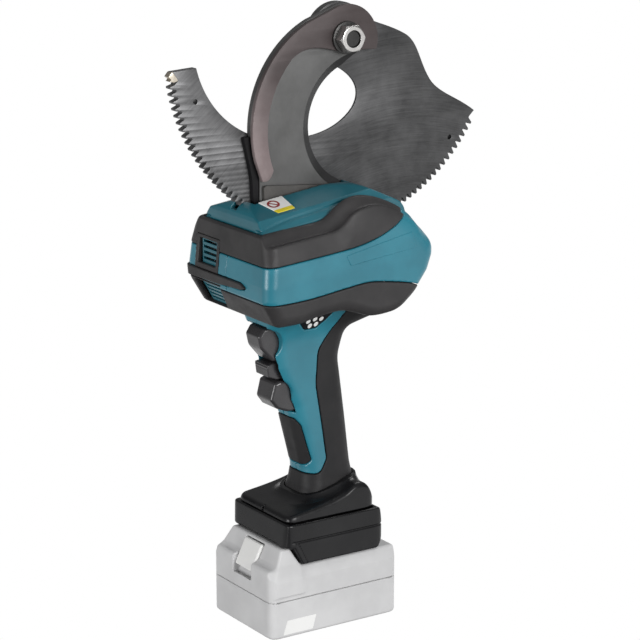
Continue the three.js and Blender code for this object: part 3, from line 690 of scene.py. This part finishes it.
# ---- housing ----
BODY_HALF = 53.0  # at the crease of the flanks
FLANK_LEAN = 0.085
SHOULDER_HALF = 48.2  # at the ridge of the shoulders
SHOULDER_LEAN = 0.34
SHELF = 12.0  # width of the shelf, from the ridge in to the cover
SHELF_SWELL = 1.6
NOSE_Y = -60.5
NOSE_BEND = 249.6  # height where the nose reaches furthest
NOSE_BACK = -50.0  # the trims on the nose end here
COVER_HALF = 37.0
PROFILE = rounded([(-46, 215, 8), (-60.5, 240, 12), (-60.5, 262, 12), (-58, 340), (30, 340), (50, 291.5, 8),
                   (62, 282.5, 8), (75, 264, 10), (70, 246, 10), (58, 228, 14), (46, 216, 12)])
UNDERSIDE = mirrored((46.5, 221.6, 6), (52.8, 228.4, 4), (70, 252), (70, 340))
HEM = through((-60, 0.0), (-34, 0.0), (-18, 2.8), (1, 4.6), (13, 1.6), (25, -2.2), (41, -1.6), (49, 1.0),
              (61, 8.0))
RIDGE = through((-61, 275.5), (-33, 278), (-12, 280.2), (-4, 281.6), (2, 285), (9, 291), (18, 294), (29, 295),
                (40, 292), (50, 287), (58, 282), (70, 272))
COVER_EDGE = through((-61, 280.5), (-54, 282.5), (-25, 285), (-11, 286.6), (-5, 290), (1, 295), (9, 299),
                     (18, 300.3), (30, 298), (47, 291), (58, 284), (70, 273))
CREASE = through((-61, 249), (-36, 251.6), (3, 254.6), (40, 256), (75, 256))
UPPER_LINE = through((-80, 262.6), (-61, 262.6), (-36, 264.6), (-5, 267.6), (11, 269.6), (27, 273.6),
                     (39, 278.6), (47, 283.6), (54, 289.5), (70, 304))
LOWER_LINE = through((-80, 237.4), (-61, 237.6), (-29, 238.6), (3, 242.6), (19, 244.2), (35, 242.6),
                     (56, 238.6), (75, 232))


def body(x, y, z):
    """The housing's outer form: creased flanks and nose, a ridge along each shoulder, and a rounded tail."""
    ax = np.abs(x)
    lean = (z - CREASE(y)) * FLANK_LEAN
    flank = both(ax - BODY_HALF + lean, ax - BODY_HALF - lean, 0.3)
    ridge = RIDGE(y)
    shoulder = (ax - SHOULDER_HALF + (z - ridge) * SHOULDER_LEAN) * 0.94
    inward = np.clip(SHOULDER_HALF - ax, -SHELF / 2, SHELF)
    swell = SHELF_SWELL * np.sin(np.clip(inward / SHELF, 0, 1) * math.tau)
    shelf = (z - ridge - inward * (COVER_EDGE(y) - ridge) / SHELF + swell) * 0.9
    nose = NOSE_Y - y + np.maximum((z - NOSE_BEND) * 0.1, (NOSE_BEND - z) * 0.055)
    profile = np.maximum(flat(PROFILE, y, z), nose)
    sides = both(both(flank, shoulder, 1.5), profile, 8)
    return both(both(sides, shelf, 0.9), flat(UNDERSIDE, x, z - HEM(y)), 2)


DECK_SIDE = rounded([(-53.6, 270), (-54.2, 283, 2), (-54.0, 296.8, 12), (8, 304.8, 30), (30, 304.8, 22),
                     (57, 291.5, 12), (64, 270)])
DECK_TOP = mirrored((COVER_HALF, 240), (COVER_HALF, 282.5, 1), (30.5, 290.6, 0.8), (9, 297.2, 2.5))
DECK_CLIMB = 8  # degrees
FLANK_LINE = through((-58, 281.6), (-50, 284.8), (-36, 288.4), (-20, 291.2), (0, 294.2), (22, 297.6))
GROOVE = (0.9, 0.95)  # depth and half width


def deck(x, y, z):
    """The raised cover: a sloped front, a top that climbs to the rear, and flanks with a shallow groove."""
    crown = flat(DECK_TOP, x, turned(y, z, (-50, 296), DECK_CLIMB)[1])
    form = both(both(flat(DECK_SIDE, y, z), crown, 0.8), np.abs(x) - COVER_HALF, 0.6)
    on_flank = np.clip((np.abs(x) - 28) / 2, 0, 1) * np.clip((22 - y) / 8, 0, 1)
    return form + GROOVE[0] * on_flank * np.exp(-((z - FLANK_LINE(y)) / GROOVE[1]) ** 2)


def blade_slot(x, y, z):
    """The room that the toothed blade swings through."""
    around = np.hypot(y - PIVOT[0], z - PIVOT[1]) - TIP_RADIUS - 1.8
    return np.maximum(around, between(x, -6.2, 1.25))


def hook_slot(x, y, z):
    return block(x, y, z, (0.9, -44.5, 240), (10.6, 30, 330), 0.5)


def vent_window(x, y, z):
    return block(x, y, z, (-36, -75, 251.8), (-13.2, -52, 268.4), 0.8)


CHIN = (-54.6, 230.6, 30)  # centre (y, z) and slope in degrees of the lower vent


def chin_window(x, y, z):
    cy, cz = turned(y, z, CHIN[:2], CHIN[2])
    return block(x, cy, cz, (-40.5, -70, 220.8), (-11.5 - (CHIN[1] - cz) * 0.25, -44, 240.6), 0.8)


NOSE_FRAME = rounded([(-39.5, 244), (-39.5, 271, 1.5), (-10, 271, 1.5), (-10, 244)])
BAR = rounded([(-57, 240.8, 0.6), (-57, 247.8, 0.6), (19.5, 247.8, 0.8), (25.6, 245.2, 0.8), (21, 243.6, 0.8),
               (-9, 241.8, 3)])


def nose_trim(x, y, z):
    """The dark frame on the nose: it holds the upper vent and runs down to the lower one."""
    return np.maximum(flat(NOSE_FRAME, x, z), y - NOSE_BACK)


def nose_bar_zone(x, y, z, grow=0.0):
    return np.maximum(flat(BAR, x, z) - grow, y - NOSE_BACK)


def upper_zone(y, z):
    """Above the line where the upper bumper meets the teal band."""
    return (UPPER_LINE(y) - z) * 0.95


def lower_zone(x, y, z):
    """Below the teal band, and the dark side of the lower vent."""
    chin = np.maximum(np.maximum(x + 8.5, y + 48), z - 240.6)
    return np.minimum((z - LOWER_LINE(y)) * 0.97, chin)


BADGE = rounded([(1.0, 264.6, 1.0), (4.0, 257.6, 1.0), (57, 263.4, 1.0), (54.5, 274.6, 1.0)])


def badge(x, y, z):
    """A thin blank plate on the right flank."""
    form = body(x, y, z)
    return both(both(form - 0.35, -(form + 0.4)), np.maximum(flat(BADGE, y, z), 20 - x), 0.3)


def skin(x, y, z, grow=0.0):
    """The housing's wall, its outer face moved out by grow."""
    shape = body(x, y, z) - grow
    return np.maximum(shape, -(shape + WALL + grow))


def deck_hole(x, y, z):
    """The opening below the cover."""
    pit = np.maximum(np.abs(x) - COVER_HALF - 0.35, between(y, -54.7, 63.5))
    return np.maximum(np.maximum(pit, z - 330), 262 - z)


def teal_shell(sign):
    """One half of the housing: the band between the soft bumpers."""
    def shape(x, y, z):
        shell = skin(x, y, z)
        shell = both(shell, -upper_zone(y, z) + SEAM, 0.7)
        shell = both(shell, -lower_zone(x, y, z) + SEAM, 0.7)
        shell = without(shell, np.minimum(nose_trim(x, y, z), nose_bar_zone(x, y, z)) - SEAM, 0.5)
        shell = np.maximum(shell, -blade_slot(x, y, z))
        return np.maximum(shell, 0.02 - sign * x)
    return shape


def upper_bumper(x, y, z):
    shell = both(skin(x, y, z, 0.25), upper_zone(y, z) + SEAM, 0.8)
    shell = without(shell, nose_trim(x, y, z) - 0.05)
    shell = without(shell, vent_window(x, y, z), 0.7)
    shell = without(shell, deck(x, y, z) - 0.4, 0.5)
    return np.maximum(np.maximum(shell, -deck_hole(x, y, z)), -blade_slot(x, y, z))


def lower_bumper(x, y, z):
    shell = both(skin(x, y, z, 0.25), lower_zone(x, y, z) + SEAM, 0.8)
    shell = without(shell, nose_bar_zone(x, y, z, SEAM), 0.5)
    shell = without(shell, chin_window(x, y, z), 0.8)
    return without(shell, handle_form(x, y, z) - 0.5, 0.6)


def nose_cover(x, y, z):
    shell = both(np.maximum(body(x, y, z) - 0.25, -(body(x, y, z) + 3.2)), nose_trim(x, y, z))
    shell = without(shell, nose_bar_zone(x, y, z, SEAM / 2), 0.2)
    return without(shell, vent_window(x, y, z), 0.7)


def nose_bar(x, y, z):
    """The pointed bar, standing proud of the nose."""
    proud = body(x, y, z) - 1.7
    return both(np.maximum(proud, -(body(x, y, z) + 2.2)), nose_bar_zone(x, y, z), 0.6)


def deck_shell(x, y, z):
    """The cover, with the slots for both blades and the mouth in front of the toothed one."""
    outer = deck(x, y, z)
    shell = np.maximum(outer, -np.maximum(outer + WALL, z - 330))
    shell = np.maximum(shell, 271 - z)
    shell = without(shell, blade_slot(x, y, z), 0.7)
    shell = without(shell, hook_slot(x, y, z), 0.7)
    mouth = block(x, y, z, (-6.2, -54.6, 292.5), (1.3, -40, 320), 0.5)
    return without(shell, mouth, 0.4)


def louvres(x, u, w, width, height, slats):
    """A grille in its own plane: a plate with a row of slots. u is depth and w is height."""
    form = block(x, u, w, (-width / 2, 0, -height / 2), (width / 2, 2.6, height / 2), 0.4)
    half = width / 2 - 1.4
    pitch = (height - 1.6) / slats
    for k in range(slats):
        low = -height / 2 + 0.8 + k * pitch
        slot = block(x, u, w, (-half, -2, low + pitch * 0.5), (half, 5, low + pitch * 0.94), 0.2)
        form = without(form, slot, 0.2)
    return form


def upper_grille(x, y, z):
    return louvres(x + 23.6, y + 58.0, z - 260.1, 19.8, 17.2, 4)


def lower_grille(x, y, z):
    cy, cz = turned(y, z, CHIN[:2], CHIN[2])
    return louvres(x + 24.6, cy - CHIN[0] - 2.2, cz - CHIN[1], 24.6, 19.0, 5)


# ---- handle ----
HANDLE = rounded([(-37, 232), (-36.4, 209, 6), (-30.0, 181, 10), (-16.4, 152, 14), (-5, 106, 14),
                  (-6.4, 95, 6), (-12, 80), (42, 80), (36, 94, 8), (33, 108, 10), (23, 184, 24), (28, 203, 9),
                  (54, 211, 9), (62, 232)])
HANDLE_TOP = 222.5
GRIP_SKIN = 3.0
GRIP_WIDTH = through((60, 21.0), (92, 18.2), (100, 16.7), (112, 16.2), (140, 16.6), (170, 16.4), (192, 16.2),
                     (202, 17.5), (210, 20.5), (217, 25.5), (224, 31.0), (232, 36.0))
GRIP_SPLIT = rounded([(22, 236), (15, 211, 8), (2.5, 192, 14), (0.5, 168, 30), (9.4, 114, 7), (4, 103.6, 7),
                      (-40, 106.4), (-40, 60), (90, 60), (90, 236)])
PAD_SPLIT = rounded([(-40, 147.4), (-13, 145, 2.5), (-9.5, 140, 4), (-1.6, 114, 3), (-4.4, 110, 2.5),
                     (-40, 109.6)])


def handle_form(x, y, z):
    return both(flat(HANDLE, y, z), (np.abs(x) - GRIP_WIDTH(z)) * 0.96, 11.5)


UPPER_TRIGGER = rounded([(-32, 211.6, 2), (-36.6, 210.6, 2), (-40.4, 205.4, 2), (-38.4, 197, 8),
                         (-30, 187.6, 2.5), (-25, 186.6, 2), (-8, 186.6), (-8, 211.6)])
LOWER_TRIGGER = rounded([(-25, 172.8, 2), (-28.4, 171.6, 2), (-31.6, 160, 3), (-26.6, 153.6, 2.5),
                         (-18, 150.4, 3), (-4, 150.4), (-4, 172.8)])
SELECTOR = rounded([(-26, 185.8, 0.8), (-33.4, 184.6, 0.8), (-32.2, 176.2, 0.8), (-26, 173.8, 0.8),
                    (-14, 173.8), (-14, 185.8)])


def trigger_bay(x, y, z):
    """What is cut from the handle: a scallop and a well for each trigger, and the selector's slot."""
    upper = np.hypot(np.maximum(y + 37.6, 0), z - 200.2) - 11.4
    lower = np.hypot(np.maximum(y + 29.3, 0), z - 162.8) - 12.2
    slot = np.maximum(np.abs(x) - 11.9, between(z, 173.2, 186.8))
    wells = np.minimum(between(z, 149.6, 173.6), between(z, 186.0, 212.4))
    wells = np.maximum(np.maximum(wells, np.abs(x) - 11.5), y - 12)
    return np.minimum(np.minimum(np.minimum(upper, lower), slot), wells)


def handle_half(sign):
    """One half of the handle's core, stepped down where the soft grip and the pad lie on it."""
    def shape(x, y, z):
        form = handle_form(x, y, z)
        covered = np.minimum(flat(GRIP_SPLIT, y, z), flat(PAD_SPLIT, y, z))
        outer = both(form, -covered + SEAM, 0.7)
        shell = np.minimum(outer, form + GRIP_SKIN + 0.2)
        shell = without(shell, form + 6.4)
        shell = without(shell, trigger_bay(x, y, z), 0.9)
        shell = without(shell, panel_bed(x, y, z), 0.4)
        shell = both(shell, z - HANDLE_TOP)
        return np.maximum(shell, SEAM / 2 - sign * x)
    return shape


def overmould(x, y, z, outline, radius):
    """A soft layer on the handle, inside an outline in the YZ plane."""
    form = handle_form(x, y, z)
    return both(np.maximum(form - 0.2, -(form + GRIP_SKIN)), flat(outline, y, z) + SEAM, radius)


def grip(x, y, z):
    """The rear grip. Its top climbs at the back, into the opening of the lower bumper."""
    top = HANDLE_TOP + np.clip((y - 38) * 0.8, 0, 8.5)
    return both(overmould(x, y, z, GRIP_SPLIT, 0.7), z - top)


def front_pad(x, y, z):
    return overmould(x, y, z, PAD_SPLIT, 0.8)


PANEL_TILT = math.radians(37)


def panel_frame(x, y, z):
    """Coordinates in the plane of the lamp panel on the neck: along and up."""
    return y + 6, (z - 212) * math.cos(PANEL_TILT) + (x - 22.5) * math.sin(PANEL_TILT)


PANEL = rounded([(-13, 10, 1), (-11, 3, 3), (-5, -4.5, 4), (4.5, -4.5, 4), (9.5, 2, 3), (13, 10, 1)])


def panel_bed(x, y, z):
    along, up = panel_frame(x, y, z)
    return both(flat(PANEL, along, up) - 0.25, both(12 - x, -(handle_form(x, y, z) + 1.6)))


def panel(x, y, z):
    along, up = panel_frame(x, y, z)
    form = handle_form(x, y, z)
    slab = np.maximum(form + 0.5, -(form + 1.7))
    return both(both(slab, flat(PANEL, along, up), 0.3), both(12.3 - x, z - 221))


def lamp(along, up):
    """One round lamp of the panel, standing a little proud of it."""
    def shape(x, y, z):
        a, u = panel_frame(x, y, z)
        form = handle_form(x, y, z)
        return both(np.hypot(a - along, (u - up) * 0.75) - 1.6, both(form + 0.1, -(form + 1.4)), 0.3)
    return shape


def trigger(outline):
    """A trigger that narrows towards its front."""
    def shape(x, y, z):
        return both(flat(outline, y, z), np.abs(x) - 11 - np.minimum(0, (y + 24) * 0.12), 2.2)
    return shape


def selector(x, y, z):
    """The push-through button, with four ribs on its front."""
    form = both(flat(SELECTOR, y, z), np.abs(x) - 8.4, 1.0)
    for k in range(4):
        form = without(form, np.hypot(y + 33.6, z - 177.4 - 2.1 * k) - 0.75, 0.2)
    return form


# ---- foot and battery ----
FOOT_TOP = through((-40, 4.2), (-20, 6.2), (0, 9.5), (14, 13.5), (24, 18.5), (32, 17.0), (42, 6.0))
FOOT_SPLIT = 79.0
FOOT_PLAN = mirrored((34, -33, 9), (34, 40, 12))
SKIRT_SIDE = rounded([(-35.8, 62, 1), (-34.5, 78.6, 1.5), (41, 78.6, 3), (44, 68, 4), (44, 56, 6),
                      (39, 49.6, 3), (-23, 49.6, 1), (-29.6, 62, 1)])
SKIRT_PLAN = mirrored((37, -36, 9), (37, 45, 10))
SKIRT_LINE = 66


def foot_upper(x, y, z):
    """The upper shell of the foot, filleted into a collar round the handle."""
    crown = z - (FOOT_SPLIT - 0.1) - FOOT_TOP(y)
    side = (np.abs(x) - 34) + (z - 80) * 0.12
    form = both(both(flat(FOOT_PLAN, x, y), side, 2.0), crown * 0.9, 3.4)
    neck = np.maximum(handle_form(x, y, z) - 2.8, z - 92.0 - 0.2 * y)
    form = both(either(form, neck, 6.0), FOOT_SPLIT + 0.1 - z, 0.6)
    shell = np.maximum(form, -(form + 3.2))
    collar = handle_form(x, y, z) - 0.5
    slit = block(x, y, z, (-1.2, -40, 80), (1.2, -30.5, 90), 0.3)
    return without(without(shell, collar, 0.8), slit, 0.3)


def foot_lower(x, y, z):
    """The skirt over the pack's rails: a groove round it and a line down each cheek, open below and above."""
    cheeks = np.abs(x) - 37 + (z - 49) * 0.03
    form = both(both(flat(SKIRT_SIDE, y, z), flat(SKIRT_PLAN, x, y), 1.2), cheeks, 1.5)
    line = np.maximum(np.hypot(form, z - SKIRT_LINE) - 0.65, -31.0 - y)
    slanted = (z - SKIRT_LINE) * 0.46 + (y + 31.5) * 0.89 - 3.4
    rim = np.maximum(np.maximum(np.hypot(form, slanted) - 0.55, z - SKIRT_LINE), 50.5 - z)
    form = without(without(form, line, 0.25), np.maximum(rim, 36 - np.abs(x)), 0.2)
    channel = block(x, y, z, (-26, -60, 40), (26, 36, 63), 1.0)
    hollow = block(x, y, z, (-33, -30, 66), (33, 37, 90), 2.0)
    return without(without(form, channel, 0.6), hollow, 0.5)


PACK_PLAN = mirrored((39, -50, 8), (39, 54, 8))
PACK_SHOULDER = mirrored((39, -20), (39, 40.5, 1.5), (34, 48.6, 3))
PACK_SPLIT = 26.3
LATCH_TILT = -26.4  # degrees
HUMP = rounded([(-50, 30), (-49.8, 37.8, 1.5), (-37.6, 61.4, 2.5), (-31.0, 61.4, 1), (-24.4, 49.4),
                (-24.0, 30)])
HUMP_FRONT = mirrored((39, 30), (38.4, 40, 4), (31, 62, 4))


def pack_form(x, y, z):
    return both(both(flat(PACK_PLAN, x, y), flat(PACK_SHOULDER, x, z), 3.0), -z, 2.2)


def pack_shell(x, y, z):
    form = pack_form(x, y, z)
    return np.maximum(form, -form - 3.0)


def battery_lower(x, y, z):
    return np.maximum(pack_shell(x, y, z), z - PACK_SPLIT)


def battery_upper(x, y, z):
    """The upper case: the hump at the front that holds the latch, and the rails that the tool slides on."""
    hump = both(both(flat(HUMP, y, z), flat(HUMP_FRONT, x, z), 1.5), flat(PACK_PLAN, x, y), 1.0)
    rail = block(x, y, z, (-25.6, -30, 46), (25.6, 33, 61), 1.0)
    flange = block(x, y, z, (-22.6, -30, 49.2), (22.6, 34, 56.0), 0.4)
    rail = either(np.maximum(rail, 55.5 - z), np.maximum(flange, 46 - z), 0.2)
    form = either(np.maximum(pack_shell(x, y, z), PACK_SPLIT + 0.03 - z), hump, 3.0)
    form = np.maximum(form, both(flat(PACK_PLAN, x, y), z - 61.6))
    form = np.minimum(form, rail)
    along, out = turned(y, z, (-43.8, 47.3), LATCH_TILT)
    pocket = block(x, along, out, (-11.6, -48.8, 34.6), (11.6, -39.7, 60.8), 1.0)
    for sign in (-1, 1):
        slot = block(x, y, z, (sign * 12 - 1, 20, 53), (sign * 12 + 1, 40, 63), 0.2)
        form = without(form, slot, 0.1)
    return without(form, pocket, 0.6)


STRIPE = rounded([(-40.5, 2.4, 0.6), (-37, 12.4, 0.6), (-13.5, 12.4, 0.6), (-16.5, 2.4, 0.6)])


def stripe(x, y, z):
    """A plain printed bar on the pack's side."""
    form = pack_form(x, y, z)
    return both(both(form - 0.2, -(form + 1.6)), np.maximum(flat(STRIPE, y, z), 20 - x), 0.1)


def battery_latch(x, y, z):
    along, out = turned(y, z, (-42.5, 49.7), LATCH_TILT)
    return block(x, along, out, (-11, -44.9, 39.7), (11, -40.2, 59.7), 1.4)


LABEL = rounded([(11, -41.6, 0.6), (27.6, -36.4, 0.6), (27.6, -14.6, 0.6), (11, -21.4, 0.6)])


def label(x, y, z):
    """A thin printed plate that follows the deck."""
    form = deck(x, y, z)
    return both(both(form - 0.45, -(form + 0.3)), flat(LABEL, x, y), 0.15)


def paint_label(mesh):
    """Generic print: a coloured strip along one edge, and a ring crossed by a bar."""
    for finish in (YELLOW, RED_PRINT):
        mesh.materials.append(finish)
    for face in mesh.polygons:
        x, y = face.center.x / MM - 17.5, face.center.y / MM + 33.8
        ring = abs(math.hypot(x, y) - 3.6) < 0.75
        bar = abs(x - y) < 0.9 and math.hypot(x, y) < 4
        if x > 6.7:
            face.material_index = 1
        elif ring or bar:
            face.material_index = 2


def printed(name, shape, lo, hi, step, body, material):
    """A thin added piece that stands for no CAD node."""
    link(name, surface(name + "_form", shape, lo, hi, step), body, [], material)


LAMPS = ((-4.6, 3.6), (-1.6, -1.2), (3.0, -0.4), (0.2, 5.2), (5.4, 4.6))  # along and up in the panel
plate_piece = moulded("label_plate", label, (9, -43, 286), (30, -24, 302), 0.35, TOOL, WHITE)
paint_label(plate_piece.data)
for number, place in enumerate(LAMPS):
    printed(f"panel_lamp_{number}", lamp(*place), (13, -20, 200), (33, 8, 222), 0.3, TOOL,
            WHITE)
for side, sign, left, right in (("left", -1, -54, 1), ("right", 1, -1, 54)):
    moulded("housing_" + side, teal_shell(sign), (left, -63, 228), (right, 76, 292), 0.95, TOOL, TEAL)
printed("blank_badge", badge, (49, 0, 256), (54, 58, 276), 0.45, TOOL, TEAL)
for node, shape, lo, hi, step in (
        ("upper_bumper", upper_bumper, (-54, -63, 258), (54, 76, 303), 0.95),
        ("lower_bumper", lower_bumper, (-54, -63, 218), (54, 76, 248), 0.95),
        ("nose_cover", nose_cover, (-41, -63, 243), (-9, -46, 273), 0.6),
        ("nose_bar", nose_bar, (-57, -65, 238), (27, -46, 252), 0.7)):
    moulded(node, shape, lo, hi, step, TOOL, RUBBER)
# The cover and the grilles take the darker teal copy: painted shade.
for node, shape, lo, hi, step in (
        ("top_deck", deck_shell, (-39, -59, 269), (39, 66, 307), 0.9),
        ("upper_vent_grille", upper_grille, (-35, -59, 250), (-12, -54, 270), 0.4),
        ("lower_vent_grille", lower_grille, (-38, -62, 219), (-11, -44, 242), 0.45)):
    moulded(node, shape, lo, hi, step, TOOL, TEAL_SHADED)
for side, sign, left, right in (("left", -1, -40, 1), ("right", 1, -1, 40)):
    moulded("handle_" + side, handle_half(sign), (left, -40, 80), (right, 62, 224), 0.95, TOOL, TEAL)
for row in (
        ("rear_grip", grip, (-40, -10, 80), (40, 64, 233), 0.95, TOOL, GRIP_RUBBER),
        ("front_grip_pad", front_pad, (-20, -20, 108), (20, 2, 150), 0.8, TOOL, GRIP_RUBBER),
        ("indicator_panel", panel, (11, -24, 200), (34, 12, 222), 0.45, TOOL, DEEP_BLACK),
        ("upper_trigger", trigger(UPPER_TRIGGER), (-12, -42, 185), (12, -7, 213), 0.6, "upper_trigger",
         GLOSS_BLACK),
        ("lower_trigger", trigger(LOWER_TRIGGER), (-12, -33, 149), (12, -3, 174), 0.6, "lower_trigger",
         GLOSS_BLACK),
        ("selector_button", selector, (-9, -35, 172), (9, -13, 187), 0.4, "selector", GLOSS_BLACK),
        ("foot_upper", foot_upper, (-35, -34, 77), (35, 42, 104), 0.85, TOOL, FOOT_BLACK),
        ("foot_lower", foot_lower, (-38, -37, 48), (38, 46, 80), 0.85, TOOL, FOOT_BLACK),
        ("battery_lower_case", battery_lower, (-40, -51, -1), (40, 55, 28), 1.1, PACK, PALE),
        ("battery_upper_case", battery_upper, (-40, -51, 25), (40, 55, 67), 0.9, PACK, PALE)):
    moulded(*row)
printed("pack_stripe", stripe, (35, -42, 1), (41, -12, 14), 0.4, PACK, WHITE)
moulded("battery_latch", battery_latch, (-12, -52, 37), (12, -32, 62), 0.5, "battery_latch", WHITE)


# ---- stage ----
LENS = 135.06  # millimetres, on a sensor 36 wide
CAMERA = (56.6, 14.6, 1.640)  # degrees round and up, metres away
TARGET = (0, 0.0145, 0.2079)
LAMP_TARGET = (0, 0, 0.22)
STUDIO_LAMPS = (("key", (2.3, 0.1, 0.9), 1.0, 36), ("front", (0.2, -2.4, 0.2), 0.9, 28),
                ("back", (-0.75, 1.4, 2.3), 0.8, 13))        # name, place, size, power
SKY = ((0.16, 0.12), (0.24, 1), (0.5, 1), (0.56, 0.14), (0.7, 0.18), (0.9, 0.4))  # height, brightness


def camera():
    data = bpy.data.cameras.new("camera")
    data.lens = LENS
    data.sensor_width = 36
    data.clip_end = 20
    eye = placed("camera", data)
    azimuth, elevation = math.radians(CAMERA[0]), math.radians(CAMERA[1])
    back = Vector((math.sin(azimuth) * math.cos(elevation), -math.cos(azimuth) * math.cos(elevation),
                   math.sin(elevation)))
    eye.location = Vector(TARGET) + back * CAMERA[2]
    eye.rotation_euler = back.to_track_quat("Z", "Y").to_euler()
    bpy.context.scene.camera = eye


def area_light(name, place, size, power):
    data = bpy.data.lights.new(name, "AREA")
    data.shape = "SQUARE"
    data.size = size
    data.energy = power
    light = placed(name, data)
    light.location = place
    light.rotation_euler = (Vector(place) - Vector(LAMP_TARGET)).to_track_quat("Z", "Y").to_euler()


def studio():
    """Three soft lamps in a surround that is white below and dim above, against a white backdrop."""
    world = bpy.data.worlds.new("studio")
    world.use_nodes = True
    tree = world.node_tree
    place = wire(tree, "ShaderNodeTexCoord").outputs["Generated"]
    split = wire(tree, "ShaderNodeSeparateXYZ", {"Vector": place})
    height = sums(tree, "MULTIPLY_ADD", split.outputs["Z"], 0.5, 0.5)
    colour = ramp(tree, height, *((stop, (grey, grey, grey)) for stop, grey in SKY))
    dimmer = spread(tree, split.outputs["Y"], 0.45, 1.0, -0.6, 0.0)
    surround = sums(tree, "MULTIPLY", colour, dimmer, kind="ShaderNodeVectorMath")
    seen = wire(tree, "ShaderNodeLightPath").outputs["Is Camera Ray"]
    backdrop = sums(tree, "MAXIMUM", surround, seen, kind="ShaderNodeVectorMath")
    tree.links.new(backdrop, tree.nodes["Background"].inputs["Color"])
    bpy.context.scene.world = world
    for row in STUDIO_LAMPS:
        area_light(*row)
    bpy.context.scene.view_settings.view_transform = "Standard"


camera()
studio()
